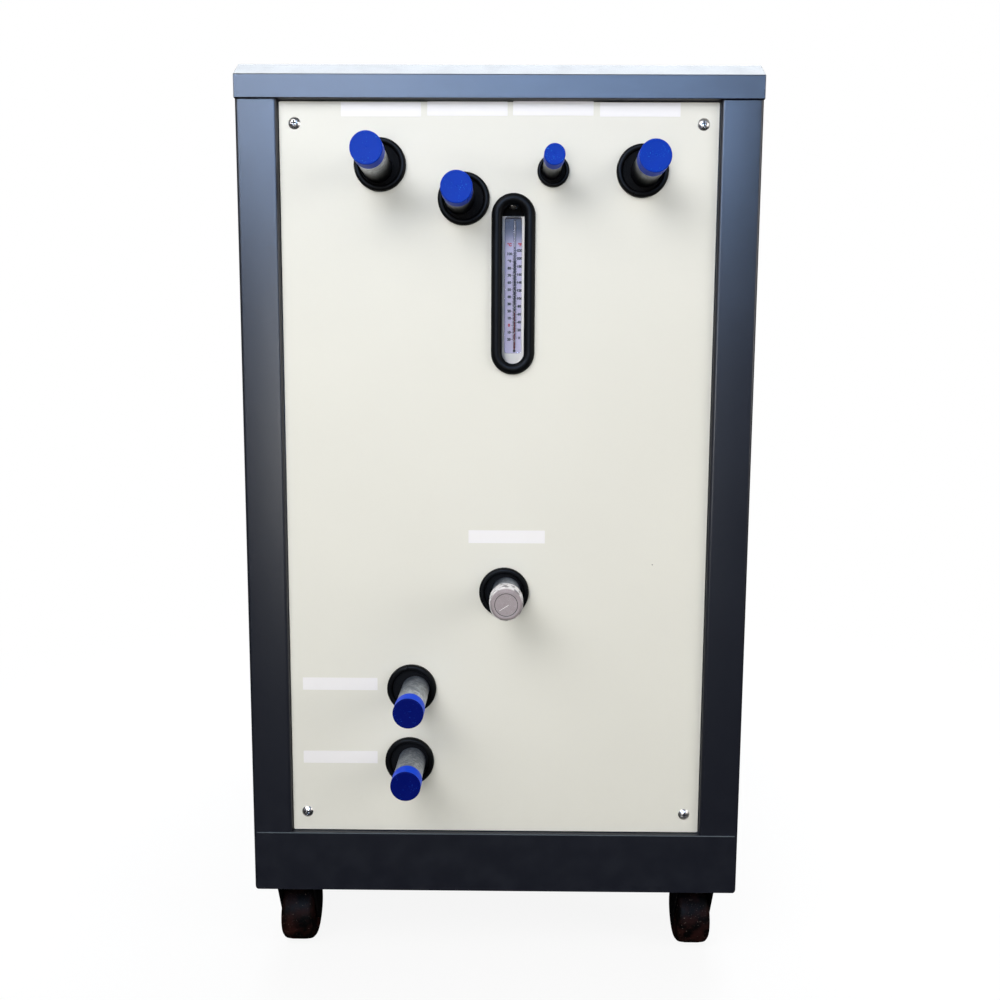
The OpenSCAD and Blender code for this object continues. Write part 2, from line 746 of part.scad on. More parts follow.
box_side_gap = 4;
box_half_w = opening_half - flange_w - box_side_gap;
box_depth = 135;
box_t = 1.5;
box_front_y = service_y - panel_t - seat_gap;
lug_t = 3;
lug_h = 30;
module electrical_box() color(zinc) at_cabinet() {
    low = control_z + 2 * bend_r;
    high = post_top - 2 * bend_r;
    difference() {
        translate([-box_half_w, box_front_y - box_depth, low]) cube([2 * box_half_w, box_depth, high - low]);
        translate([-box_half_w + box_t, box_front_y - box_depth + box_t, low + box_t])
            cube([2 * (box_half_w - box_t), box_depth, high - low - 2 * box_t]);
        translate([-box_half_w / 2, box_front_y - box_depth / 2, low - overrun])
            cylinder(r = gland_bore_d, h = lug_h);
    }
    for (x = [0, 1], z = [low + lug_h, high - 2 * lug_h]) mirror([x, 0, 0])
        translate([box_half_w - box_t / 2, side_opening_half + box_t, z])
            cube([opening_half - seat_gap - box_half_w + box_t / 2, lug_t, lug_h]);
}

// Contactor, breaker, relay and transformer as shares of the box's depth
part_shares = [[0.33, 0.56, 0.43], [0.27, 0.59, 0.41], [0.4, 0.52, 0.37], [0.49, 0.44, 0.4]];
part_sizes = part_shares * box_depth;
part_gap = 18;
terminal_h = 22;
strip_count = 12;
function part_start(i) = i == 0 ? -box_half_w + 2 * part_gap
                                : part_start(i - 1) + part_sizes[i - 1][0] + part_gap;
module electrical_parts() at_cabinet() {
    back_y = box_front_y - box_depth + box_t;
    base_z = control_z + 2 * bend_r + 3 * terminal_h;
    color("#D8D8D4") for (i = [0:len(part_sizes) - 1]) {
        s = part_sizes[i];
        translate([part_start(i), back_y, base_z]) {
            cube([s[0], s[2] * 0.7, s[1]]);
            up(s[1] * 0.25) cube([s[0], s[2], s[1] * 0.5]);
        }
    }
    color("#3A6B4A") for (i = [0:strip_count - 1])
        translate([-box_half_w + 2 * part_gap + i * terminal_h, back_y, base_z - 2 * terminal_h])
            cube([terminal_h - overrun, 1.6 * terminal_h, terminal_h * 1.2]);
}

// Service door

door_h = control_z - skirt_top - 4 * panel_gap;
door_z = skirt_top + 2 * panel_gap;
door_lip = 8;
door_louvre_x = 0.45 * opening_half;
hinge_x = -opening_half + panel_gap / 2;
knuckle_r = knuckle_d / 2;
hinge_y = half_d + knuckle_r + seat_gap;
hinge_len = 75;
hinge_leaf_w = 28;
hinge_leaf_t = 2;
hinge_pin_r = 2.5;
knuckle_gap = 0.4;
hinge_places = [door_z + 0.14 * door_h, door_z + 0.86 * door_h];
latch_x = opening_half - flange_w - 1.6 * screw_head_d;
latch_z = door_z + 0.56 * door_h;
latch_r = 8;

// One leaf of a hinge: side -1 lies on the post, side 1 on the door; it joins the knuckles listed
module hinge_leaf(side, knuckles) {
    knuckle_len = hinge_len / 3;
    clear = knuckle_r + 2 * seat_gap;
    translate([side > 0 ? clear : -hinge_leaf_w, -knuckle_r - seat_gap, -hinge_len / 2])
        cube([hinge_leaf_w - clear, hinge_leaf_t, hinge_len]);
    for (k = knuckles) up((k - 0.5) * knuckle_len + knuckle_gap / 2) {
        cylinder(r = knuckle_r, h = knuckle_len - knuckle_gap);
        translate([side > 0 ? 0 : -clear - hinge_leaf_t, -knuckle_r - seat_gap, 0])
            cube([clear + hinge_leaf_t, hinge_leaf_t, knuckle_len - knuckle_gap]);
    }
}

module door_hinges() color(zinc) at_cabinet() for (z = hinge_places) translate([hinge_x, hinge_y, z]) {
    hinge_leaf(-1, [-1, 1]);
    up(-hinge_len / 2 + knuckle_gap) cylinder(r = hinge_pin_r, h = hinge_len - 2 * knuckle_gap);
}

module service_door() at_cabinet() {
    color(cream) difference() {
        union() {
            translate([0, half_d - door_lip, 0]) upright_plate(door_lip) difference() {
                translate([0, door_z + door_h / 2]) rounded(panel_w, door_h, panel_corner_r);
                translate([0, door_z + door_h / 2])
                    square([panel_w - 2 * panel_t, door_h - 2 * panel_t], center = true);
            }
            translate([0, half_d - panel_t, 0]) upright_plate(panel_t) difference() {
                translate([0, door_z + door_h / 2]) rounded(panel_w, door_h, panel_corner_r);
                louvre_rows(door_louvre_x) louvre_cut();
            }
            translate([0, half_d, 0]) rotate(180) for (x = [-1, 1], i = [0:louvre_rows - 1])
                translate([x * door_louvre_x, 0, skirt_top + louvre_rise + i * louvre_pitch]) louvre_hood();
        }
        translate([latch_x, half_d - door_lip, latch_z]) pointing_back()
            cylinder(r = latch_r + shaft_play, h = door_lip + overrun);
    }
    color(zinc) for (z = hinge_places) translate([hinge_x, hinge_y, z]) difference() {
        hinge_leaf(1, [0]);
        up(-hinge_len) cylinder(r = hinge_pin_r + shaft_play, h = 2 * hinge_len);
    }
}

latch_cam_t = 3;
module door_latch() color(black_steel) at_cabinet() translate([latch_x, half_d, latch_z]) pointing_back() {
    stem = flange_behind + frame_t + seat_gap + latch_cam_t;
    up(-stem) cylinder(r = latch_r, h = stem + latch_r / 2);
    up(seat_gap) cylinder(r = 1.7 * latch_r, h = latch_r / 2);
    translate([-latch_r * 0.6, -2.6 * latch_r, latch_r / 4])
        cube([1.2 * latch_r, 5.2 * latch_r, latch_reach - latch_r / 4]);
    translate([-latch_r * 0.9, -latch_r / 2, -stem])
        cube([1.8 * latch_r, flange_w + 1.3 * screw_head_d - latch_r / 2, latch_cam_t]);
}

// Fasteners

gauge_bolt_r = 5;
gauge_bolt_head = 6;
screw_spare = 8;
module panel_screws() at_cabinet() {
    shank = panel_t + frame_t + screw_spare;
    for (x = [-1, 1]) {
        for (z = [lower_screw_z, upper_screw_z])
            translate([x * screw_x, panel_y, z]) pointing_front() truss_screw(shank);
        for (z = [control_screw_z, upper_screw_z])
            translate([x * screw_x, service_y, z]) pointing_back() truss_screw(shank);
        for (y = [-1, 1], z = [lower_screw_z, control_screw_z, upper_screw_z])
            translate([x * side_x, y * side_screw_y, z]) rotate([0, x * 90, 0]) truss_screw(shank);
    }
    for (z = [-1, 1]) translate([gauge_x, gauge_front, gauge_bolt_z + z * gauge_spacing / 2]) {
        pointing_front() crown(1.5 * gauge_bolt_r, gauge_bolt_head / 2);
        translate([0, -gauge_bolt_head / 4, 0]) pointing_back()
            cylinder(r = gauge_bolt_r, h = tank_front - gauge_front + tank_t + gauge_bolt_head / 4);
        translate([0, tank_front - gauge_front + tank_t, 0]) pointing_back()
            cylinder(r = 1.8 * gauge_bolt_r, h = gauge_bolt_head, $fn = 6);
    }
}
module zinc_screws() color(zinc) {
    panel_screws();
    castor_bolts();
}

// Edge trims

// The trim's section: across from its inner edge, and out of the panel
module trim_section(w, h, core) {
    back_w = core + frame_t;
    back_t = 3;
    square([w, h - w / 2]);
    translate([w / 2, h - w / 2]) intersection() {
        circle(w / 2);
        translate([-w / 2, 0]) square([w, w / 2]);
    }
    translate([0, -panel_t]) square([core - piece_gap, panel_t]);
    translate([0, -panel_t - back_t]) square([back_w, back_t]);
}

notch_w = 1.2;
module edge_trims() color(rubber) at_cabinet() {
    for (i = [0:len(ports) - 1]) {
        p = ports[i];
        inner_r = p[4] / 2 - p[5];
        place = trim_place(i);
        translate([place.x, panel_y, place.y]) pointing_front() difference() {
            rotate_extrude() translate([inner_r, 0]) trim_section(p[5], trim_h, trim_core);
            rotate(trim_notch_angles[i]) translate([inner_r + p[5] / 2, -notch_w / 2, trim_h / 2])
                cube([p[5], notch_w, trim_h]);
        }
    }
    inner_w = slot_trim_w - 2 * slot_lip_w;
    straight = slot_trim_h - slot_trim_w;
    translate([gauge_x, panel_y, slot_z]) {
        for (side = [0, 1]) mirror([side, 0, 0]) mirror([0, 1, 0]) translate([inner_w / 2, 0, -straight / 2])
            linear_extrude(straight) trim_section(slot_lip_w, slot_lip_h, trim_core);
        for (end = [0, 1]) mirror([0, 0, end]) up(straight / 2) pointing_front()
            rotate_extrude(angle = 180) translate([inner_w / 2, 0])
                trim_section(slot_lip_w, slot_lip_h, trim_core);
    }
}

// Port pipes, their sleeves and caps

function port_front(p) = panel_y - p[2] + cap_end_t + seat_gap;
riser_y = -pump_setback;
cross_z = drain_z - 1.2 * pipe_d;
riser_joint_z = (cold_outlet_z + cross_z) / 2;
condenser_front = tank_front;

module port_pipes() color(zinc) at_cabinet() {
    a = ports[0];
    pipe_run([[a[0], port_front(a), a[1]], [a[0], riser_y, a[1]], [a[0], riser_y, riser_joint_z]],
             pipe_r, pipe_wall, pipe_bend);
    for (i = [1, 3]) {
        p = ports[i];
        translate([p[0], port_front(p), p[1]]) pointing_back()
            ring(pipe_r, pipe_r - pipe_wall, tank_front + 4 * tank_t - port_front(p));
    }
    c = ports[2];
    translate([c[0], port_front(c), c[1]]) pointing_back()
        ring(small_pipe_r, small_pipe_r - small_pipe_wall, tank_front + 4 * tank_t - port_front(c));
    e = ports[4];
    pipe_run([[e[0], port_front(e), e[1]], [e[0], drain_turn_y, e[1]],
              [e[0], drain_turn_y, tank_z + tank_t + overrun]],
             pipe_r, pipe_wall, drain_drop * 0.8);
    for (i = [5, 6]) {
        p = ports[i];
        translate([p[0], port_front(p), p[1]]) pointing_back()
            ring(pipe_r, pipe_r - pipe_wall, condenser_front - port_front(p));
    }
}

sleeve_front = 2;
sleeve_len = 30;
module pipe_insulation() color(rubber) at_cabinet() for (i = [0:len(ports) - 1]) let (p = ports[i])
    translate([p[0], panel_y - sleeve_front, p[1]]) pointing_back() difference() {
        translate([trim_offsets[i].x, -trim_offsets[i].y, 0])
            cylinder(r = p[4] / 2 - p[5] - seat_gap, h = sleeve_len);
        hole(p[3], sleeve_len);
    }

// A push-on cap, mouth up
module push_cap(r) {
    gate_r = cap_end_t;
    difference() {
        cylinder(r = r + cap_play + cap_wall, h = cap_len);
        up(cap_end_t) cylinder(r = r + cap_play, h = cap_len);
        up(-cap_end_t / 2) cylinder(r = gate_r, h = cap_end_t);
    }
}
module port_cap(p) at_cabinet() translate([p[0], panel_y - p[2], p[1]]) pointing_back() children();
module cold_outlet_cap() color(blue) port_cap(ports[0]) push_cap(pipe_r);
module overflow_cap() color(blue) port_cap(ports[1]) push_cap(pipe_r);
module makeup_cap() color(blue) port_cap(ports[2]) push_cap(small_pipe_r);
module cold_return_cap() color(blue) port_cap(ports[3]) push_cap(pipe_r);
module cooling_outlet_cap() color(blue) port_cap(ports[5]) push_cap(pipe_r);
module cooling_return_cap() color(blue) port_cap(ports[6]) push_cap(pipe_r);
module drain_cap() color("#A9A7A0") port_cap(ports[4]) difference() {
    taper = (drain_cap_d - drain_cap_face_d) / 2;
    union() {
        cylinder(d1 = drain_cap_face_d, d2 = drain_cap_d, h = taper);
        up(taper) cylinder(d = drain_cap_d, h = drain_cap_len - taper);
    }
    up(cap_end_t) cylinder(r = pipe_r + cap_play, h = drain_cap_len);
}

// Level gauge

gauge_front = panel_y + gauge_setback;
gauge_recess = 7;
window_t = 2.5;
gauge_end = 16;
module gauge_housing() color("#EDECEA") at_cabinet() translate([gauge_x, gauge_front, gauge_z])
difference() {
    up(-gauge_bolt_fall) upright_plate(tank_front - gauge_front)
        rounded(gauge_w, gauge_spacing + 2 * gauge_end, gauge_w / 4);
    translate([0, -overrun, 0]) upright_plate(gauge_recess + overrun)
        rounded(gauge_window_w + 2 * seat_gap, gauge_window_h + 2 * seat_gap, bend_r);
    for (z = [-1, 1]) up(z * gauge_spacing / 2 - gauge_bolt_fall) pointing_back()
        hole(gauge_bolt_r, tank_front - gauge_front);
}

module clear_windows() color("#C8CCE0", 0.4) at_cabinet() {
    translate([gauge_x, gauge_front + seat_gap, gauge_z]) upright_plate(window_t)
        rounded(gauge_window_w, gauge_window_h, bend_r - seat_gap);
    for (x = dial_places) translate([x, service_y + dial_face_t + dial_depth - dial_glass_t, dial_z])
        pointing_back() cylinder(r = dial_r - dial_rim - seat_gap / 3, h = dial_glass_t);
}

card_t = 1;
tube_r = 1.4;
bulb_r = 1.5;
module thermometer() at_cabinet() translate([gauge_x, gauge_front + gauge_recess - card_t, gauge_z]) {
    color("#DCDCEC") upright_plate(card_t)
        rounded(gauge_window_w - seat_gap, gauge_window_h - seat_gap, bend_r - seat_gap);
    color("#B02030") translate([0, -bulb_r - piece_gap, 0]) {
        up(-0.46 * gauge_window_h) cylinder(r = tube_r, h = 0.9 * gauge_window_h);
        up(-0.46 * gauge_window_h) sphere(bulb_r);
    }
}

// Water tank, its shelf and what it holds

shelf_side_w = 22;
shelf_hole_gap = 13;
shelf_hole_half_x = opening_half - shelf_side_w;
shelf_hole_front = tank_back + shelf_hole_gap;
shelf_hole_back = side_opening_half;
suction_y = tank_back - tank_hole_inset;
tap_x = 0;
module shelf_pipe_hole(x, y, r) translate([x, y]) circle(r + 2 * seat_gap);
shelf_flange_h = drain_drop - pipe_r - 3 * frame_t;
module tank_shelf() color(slate) at_cabinet() {
    up(shelf_z) linear_extrude(shelf_t) difference() {
        translate([-opening_half + seat_gap, panel_y + 3 * flange_behind / 2])
            square([2 * (opening_half - seat_gap), 2 * half_d - 2 * panel_recess - 3 * flange_behind]);
        translate([-shelf_hole_half_x, shelf_hole_front])
            square([2 * shelf_hole_half_x, shelf_hole_back - shelf_hole_front]);
        shelf_pipe_hole(cold_outlet_x, riser_y, pipe_r);
        shelf_pipe_hole(drain_x, drain_turn_y, pipe_r);
        shelf_pipe_hole(tap_x, riser_y, pipe_r);
        shelf_pipe_hole(pump_x, suction_y, pipe_r);
    }
    for (y = [side_opening_half + frame_t, -side_opening_half - 2 * frame_t])
        translate([-opening_half + seat_gap, y, shelf_z - shelf_flange_h])
            cube([2 * (opening_half - seat_gap), frame_t, shelf_flange_h + shelf_t / 2]);
}

// The tank's floor and sides are one folded sheet, with its two ends set in
module tank_wrapper() difference() {
    translate([tank_left, tank_front, tank_z]) difference() {
        cube([tank_w, tank_d, tank_h]);
        translate([tank_t, -overrun, tank_t]) cube([tank_w - 2 * tank_t, tank_d + 2 * overrun, tank_h]);
    }
    for (q = [[drain_x, drain_turn_y], [tap_x, riser_y], [pump_x, suction_y]])
        translate([q.x, q.y, tank_z]) hole(pipe_r, tank_t);
}
module tank_ends() difference() {
    inset = tank_t + piece_gap;
    for (y = [tank_front, tank_back - tank_t]) translate([tank_left + inset, y, tank_z + inset])
        cube([tank_w - 2 * inset, tank_t, tank_h - inset]);
    for (i = [1, 2, 3]) translate([ports[i][0], tank_front, ports[i][1]]) pointing_back()
        hole(ports[i][3], tank_t);
    for (z = [-1, 1]) translate([gauge_x, tank_front, gauge_bolt_z + z * gauge_spacing / 2])
        pointing_back() hole(gauge_bolt_r, tank_t);
    for (q = coil_tails) translate([q.x, tank_back - tank_t, q.z]) pointing_back()
        hole(coil_tube_d / 2, tank_t);
}
module water_tank() color(stainless) at_cabinet() {
    tank_wrapper();
    tank_ends();
}

module tank_lid() color(stainless) at_cabinet() translate([tank_left, tank_front, tank_z + tank_h]) {
    over = tank_t + seat_gap;
    rim = 6 * tank_t;
    difference() {
        translate([-over, -over, -rim]) cube([tank_w + 2 * over, tank_d + 2 * over, rim + tank_t]);
        translate([-seat_gap, -seat_gap, -rim - overrun])
            cube([tank_w + 2 * seat_gap, tank_d + 2 * seat_gap, rim + overrun]);
    }
}

// The coil winds upwards and its two ends run straight out through the tank's back wall
coil_y = tank_front + tank_d / 2;
coil_z = tank_z + coil_rise;
coil_rings = 20;
coil_sides = 8;
coil_steps = coil_turns * coil_rings + coil_rings / 2;
coil_out_y = tank_back + coil_tube_d;
coil_tails = [[tank_x - coil_r, coil_out_y, coil_z],
              [tank_x + coil_r, coil_out_y, coil_z + (coil_turns + 0.5) * coil_pitch]];
coil_route = concat(
    [coil_tails[0], coil_tails[0] - [0, coil_tube_d, 0]],
    [for (i = [0:coil_steps]) let (a = 180 + 360 * i / coil_rings)
        [tank_x + coil_r * cos(a), coil_y + coil_r * sin(a), coil_z + coil_pitch * i / coil_rings]],
    [coil_tails[1] - [0, coil_tube_d, 0], coil_tails[1]]);
echo(coil_gap = coil_pitch - coil_tube_d);

// Directions along a route, and a ring of points square to the route at each of its points
function route_way(route, i) =
    let (a = route[max(i - 1, 0)], b = route[min(i + 1, len(route) - 1)]) (b - a) / norm(b - a);
function square_way(w) = let (s = cross(w, [0, 0, 1])) s / norm(s);
module swept_tube(route, r, sides) {
    n = len(route);
    points = [for (i = [0:n - 1]) let (w = route_way(route, i), s = square_way(w), u = cross(s, w))
        for (k = [0:sides - 1]) route[i] + r * (cos(360 * k / sides) * s + sin(360 * k / sides) * u)];
    walls = [for (i = [0:n - 2], k = [0:sides - 1]) let (a = i * sides + k, b = i * sides + (k + 1) % sides)
        each [[a, b, b + sides], [a, b + sides, a + sides]]];
    last = (n - 1) * sides;
    ends = [for (k = [1:sides - 2]) each [[0, k + 1, k], [last, last + k, last + k + 1]]];
    polyhedron(points, concat(walls, ends), convexity = 10);
}
module evaporator_coil() color(copper) at_cabinet() swept_tube(coil_route, coil_tube_d / 2, coil_sides);

float_inset = 48;
float_fall = 12;
float_pivot_y = tank_front + float_inset;
float_pivot_z = makeup_z - float_fall;
pivot_r = 2;
ear_t = 3;
eye_w = 8;
module float_valve() color("#C9A53A") at_cabinet() {
    start_y = tank_front + 4 * tank_t;
    translate([makeup_x, start_y, makeup_z]) pointing_back()
        cylinder(r = small_pipe_r, h = float_pivot_y - start_y - 4 * pivot_r);
    for (x = [-1, 1])
        translate([makeup_x + x * (eye_w / 2 + ear_t / 2 + seat_gap) - ear_t / 2, float_pivot_y - 5 * pivot_r,
                   float_pivot_z - 2.5 * pivot_r]) cube([ear_t, 8 * pivot_r, 8 * pivot_r]);
    translate([makeup_x - eye_w / 2 - ear_t - seat_gap, float_pivot_y, float_pivot_z]) rotate([0, 90, 0])
        cylinder(r = pivot_r, h = eye_w + 2 * ear_t + 2 * seat_gap);
}

module float_arm() at_cabinet() translate([makeup_x, float_pivot_y, float_pivot_z])
rotate([-float_rest, 0, 0]) {
    color(zinc) difference() {
        union() {
            translate([-eye_w / 2, 0, 0]) rotate([0, 90, 0]) cylinder(r = 2.2 * pivot_r, h = eye_w);
            pointing_back() cylinder(r = 1.3 * pivot_r, h = float_arm_len + float_r / 4);
        }
        translate([-eye_w, 0, 0]) rotate([0, 90, 0]) cylinder(r = pivot_r + shaft_play, h = 2 * eye_w);
    }
    color("#D86A1E") difference() {
        translate([0, float_arm_len + float_r, 0]) sphere(float_r, $fn = 96);
        pointing_back() cylinder(r = 1.3 * pivot_r, h = float_arm_len + float_r / 4);
    }
}

// Condenser and compressor

condenser_x = (cooling_outlet_x + cooling_return_x) / 2;
condenser_z = (cooling_outlet_z + cooling_return_z) / 2;
condenser_r = condenser_d / 2;
saddle_t = 8;
saddle_shares = [0.15, 0.78];
condenser_back = condenser_front + condenser_len;
line_r = 6;
line_wall = 1;
line_bend = 3 * line_r;
line_port = 12;
gas_in_y = condenser_back - 5 * line_r;
liquid_out_x = condenser_x - 0.55 * condenser_r;
liquid_out_z = condenser_z - 0.4 * condenser_r;

module condenser() color(black_steel) at_cabinet() difference() {
    union() {
        translate([condenser_x, condenser_front, condenser_z]) pointing_back() {
            cylinder(r = condenser_r, h = condenser_len);
            for (z = [0, condenser_len - condenser_cover_t])
                up(z) cylinder(d = condenser_cover_d, h = condenser_cover_t);
        }
        for (k = [0:5]) translate([condenser_x, condenser_front - condenser_t, condenser_z]) pointing_back()
            rotate(30 + 60 * k) translate([0.93 * condenser_r, 0, 0])
                cylinder(r = condenser_t, h = 2 * condenser_t, $fn = 6);
        for (s = saddle_shares) translate([condenser_x, condenser_front + s * condenser_len, 0])
            upright_plate(saddle_t) translate([-0.7 * condenser_r, pan_top])
                square([1.4 * condenser_r, condenser_z - pan_top]);
        translate([condenser_x, gas_in_y, condenser_z]) cylinder(r = 1.6 * line_r, h = condenser_r + line_port);
        translate([liquid_out_x, condenser_back - overrun, liquid_out_z]) pointing_back()
            cylinder(r = 1.6 * line_r, h = line_port + overrun);
    }
    translate([condenser_x, condenser_front + condenser_cover_t, condenser_z]) pointing_back()
        cylinder(r = condenser_r - condenser_t, h = condenser_len - 2 * condenser_cover_t);
    for (i = [5, 6]) translate([ports[i][0], condenser_front - overrun, ports[i][1]]) pointing_back()
        cylinder(r = pipe_r - pipe_wall, h = 2 * condenser_cover_t);
}

compressor_y = half_d - compressor_inset;
compressor_r = compressor_d / 2;
foot_h = 16;
foot_r = 14;
foot_place = 0.86 * compressor_r;
can_z = pan_top + foot_h + pan_t;
gas_port_z = can_z + compressor_h + line_port;
suction_z = can_z + 0.82 * compressor_h;
dome_h = 30;
module compressor() at_cabinet() translate([compressor_x, compressor_y, 0]) {
    color(black_steel) {
        up(can_z) cylinder(r = compressor_r, h = compressor_h - dome_h);
        up(can_z + compressor_h - dome_h) crown(compressor_r, dome_h);
        up(can_z - pan_t) linear_extrude(pan_t)
            rounded(2.1 * compressor_r, 2.1 * compressor_r, foot_r);
        translate([0.95 * compressor_r, -0.3 * compressor_r, can_z + 0.4 * compressor_h])
            cube([0.4 * compressor_r, 0.6 * compressor_r, 0.25 * compressor_h]);
        up(suction_z) pointing_front() cylinder(r = 1.6 * line_r, h = compressor_r + line_port);
        up(can_z + compressor_h - dome_h)
            cylinder(r = 1.6 * line_r, h = dome_h + line_port);
    }
    color(rubber) for (x = [-1, 1], y = [-1, 1])
        translate([x * foot_place, y * foot_place, pan_top]) cylinder(r = foot_r, h = foot_h - piece_gap);
}

suction_line_y = compressor_y - compressor_r - line_port - 1.8 * line_bend;
suction_line_turn_y = max(suction_line_y, coil_out_y + line_bend + overrun);
gas_line_z = gas_port_z + 1.4 * line_bend;
drier_r = 24;
drier_h = 110;
liquid_line_y = condenser_back + line_port + 2 * line_bend;
module refrigerant_lines() color(copper) at_cabinet() {
    port_y = compressor_y - compressor_r - line_port;
    top = coil_tails[1];
    bottom = coil_tails[0];
    pipe_run([top, [top.x, suction_line_turn_y, top.z], [compressor_x, suction_line_turn_y, top.z],
              [compressor_x, suction_line_turn_y, suction_z], [compressor_x, port_y, suction_z]],
             line_r, line_wall, line_bend);
    pipe_run([[compressor_x, compressor_y, gas_port_z], [compressor_x, compressor_y, gas_line_z],
              [condenser_x, compressor_y, gas_line_z], [condenser_x, gas_in_y, gas_line_z],
              [condenser_x, gas_in_y, condenser_z + condenser_r + line_port]],
             line_r, line_wall, line_bend);
    difference() {
        route = [[liquid_out_x, condenser_back + line_port, liquid_out_z],
                 [liquid_out_x, liquid_line_y, liquid_out_z], [liquid_out_x, liquid_line_y, bottom.z],
                 [bottom.x, liquid_line_y, bottom.z], bottom];
        union() {
            tube_path(route, line_r, line_bend);
            translate([liquid_out_x, liquid_line_y, (liquid_out_z + bottom.z) / 2 - drier_h / 2])
                cylinder(r = drier_r, h = drier_h);
        }
        tube_path(route, line_r - line_wall, line_bend);
    }
}

// Pump and water pipework

pump_lift = 15;
pump_z = pan_top + pump_r + pump_lift;
casing_w = 36;
casing_wall = 6;
pump_front = riser_y - casing_w / 2;
pump_shaft_r = 8;
nozzle_len = 18;
nozzle_r = 22;
pump_outlet_z = pump_z + pump_r + nozzle_len;
module pump_casing() color("#2E4F7A") at_cabinet() translate([pump_x, pump_front, pump_z]) difference() {
    nozzle_reach = casing_w + nozzle_len;
    union() {
        pointing_back() cylinder(r = pump_r, h = casing_w);
        translate([0, casing_w - overrun, 0]) pointing_back() cylinder(r = nozzle_r, h = nozzle_len + overrun);
        translate([0, casing_w / 2, pump_r - casing_wall])
            cylinder(r = nozzle_r, h = casing_wall + nozzle_len);
    }
    translate([0, casing_wall, 0]) pointing_back()
        cylinder(r = pump_r - casing_wall, h = casing_w - 2 * casing_wall);
    translate([0, casing_w / 2, 0]) pointing_back() cylinder(r = pipe_r - pipe_wall, h = nozzle_reach);
    translate([0, casing_w / 2, 0])
        cylinder(r = pipe_r - pipe_wall - overrun, h = pump_r + nozzle_len + overrun);
    translate([0, -overrun, 0]) pointing_back()
        cylinder(r = pump_shaft_r + shaft_play, h = casing_wall + 2 * overrun);
}
module pump_motor() color("#2E4F7A") at_cabinet() translate([pump_x, pump_front, pump_z]) difference() {
    union() {
        translate([0, -motor_len, 0]) pointing_back() cylinder(r = motor_r, h = motor_len - piece_gap);
        translate([-motor_r * 0.5, -0.75 * motor_len, 0]) cube([motor_r, 0.5 * motor_len, motor_r * 1.35]);
        for (y = [-0.85 * motor_len, -0.25 * motor_len]) translate([-motor_r, y, -pump_z + pan_top])
            cube([2 * motor_r, casing_wall * 2, pump_z - pan_top - motor_r * 0.6]);
    }
    translate([0, -motor_len + casing_wall, 0]) pointing_back()
        cylinder(r = pump_shaft_r + shaft_play, h = motor_len);
}

impeller_play = 5;
vane_h = 10;
vane_t = 2;
vane_count = 6;
module pump_rotor() color("#C9A53A") at_cabinet() translate([pump_x, pump_front, pump_z]) pointing_back() {
    impeller_r = pump_r - casing_wall - impeller_play;
    disc_z = casing_wall + 2 * seat_gap;
    shaft_z = -motor_len + casing_wall + seat_gap;
    up(shaft_z)
        cylinder(r = pump_shaft_r, h = disc_z + casing_wall + vane_h + 2 * vane_t - shaft_z);
    up(disc_z) cylinder(r = impeller_r, h = casing_wall);
    for (k = [0:vane_count - 1]) rotate(360 / vane_count * k)
        translate([pump_shaft_r / 2, -vane_t / 2, disc_z + casing_wall - overrun])
            cube([impeller_r - pump_shaft_r / 2 - vane_t, vane_t, vane_h + overrun]);
}

valve_r = 20;
valve_h = 34;
valve_z = (cross_z + shelf_z) / 2 - valve_h / 2 + pipe_r / 2;
valve_stem_r = 5;
valve_stem_len = 18;
module water_pipework() color(zinc) at_cabinet() {
    difference() {
        route = [[cold_outlet_x, riser_y, riser_joint_z], [cold_outlet_x, riser_y, cross_z],
                 [pump_x, riser_y, cross_z], [pump_x, riser_y, pump_outlet_z]];
        union() {
            tube_path(route, pipe_r, pipe_bend);
            translate([tap_x, riser_y, cross_z]) cylinder(r = pipe_r - overrun, h = valve_z - cross_z);
        }
        tube_path(route, pipe_r - pipe_wall, pipe_bend);
        translate([tap_x, riser_y, cross_z])
            cylinder(r = pipe_r - pipe_wall - overrun, h = valve_z - cross_z + overrun);
    }
    translate([tap_x, riser_y, valve_z + valve_h])
        ring(pipe_r, pipe_r - pipe_wall - overrun, tank_z + tank_t + overrun - valve_z - valve_h);
    pipe_run([[pump_x, suction_y, tank_z + tank_t + overrun], [pump_x, suction_y, pump_z],
              [pump_x, pump_front + casing_w + nozzle_len, pump_z]], pipe_r, pipe_wall, pipe_bend);
}

module bypass_valve() color("#C9A53A") at_cabinet() translate([tap_x, riser_y, valve_z]) difference() {
    union() {
        cylinder(r = valve_r, h = valve_h);
        up(valve_h / 2) pointing_front()
            cylinder(r = 1.6 * valve_stem_r, h = valve_r + valve_stem_len / 3);
    }
    up(-overrun) cylinder(r = pipe_r - pipe_wall - overrun, h = valve_h + 2 * overrun);
    translate([0, -pipe_r, valve_h / 2]) pointing_front()
        cylinder(r = valve_stem_r + shaft_play, h = valve_r + valve_stem_len);
}

lever_len = 70;
lever_w = 14;
lever_t = 3;
module bypass_lever() color("#C81E1E") at_cabinet() translate([tap_x, riser_y, valve_z + valve_h / 2]) {
    translate([0, -pipe_r - seat_gap, 0]) pointing_front()
        cylinder(r = valve_stem_r, h = valve_r - pipe_r + valve_stem_len);
    translate([-lever_w / 2, -valve_r - valve_stem_len, -lever_w / 2]) cube([lever_len, lever_t, lever_w]);
}

// Power gland in the skirt at the service side

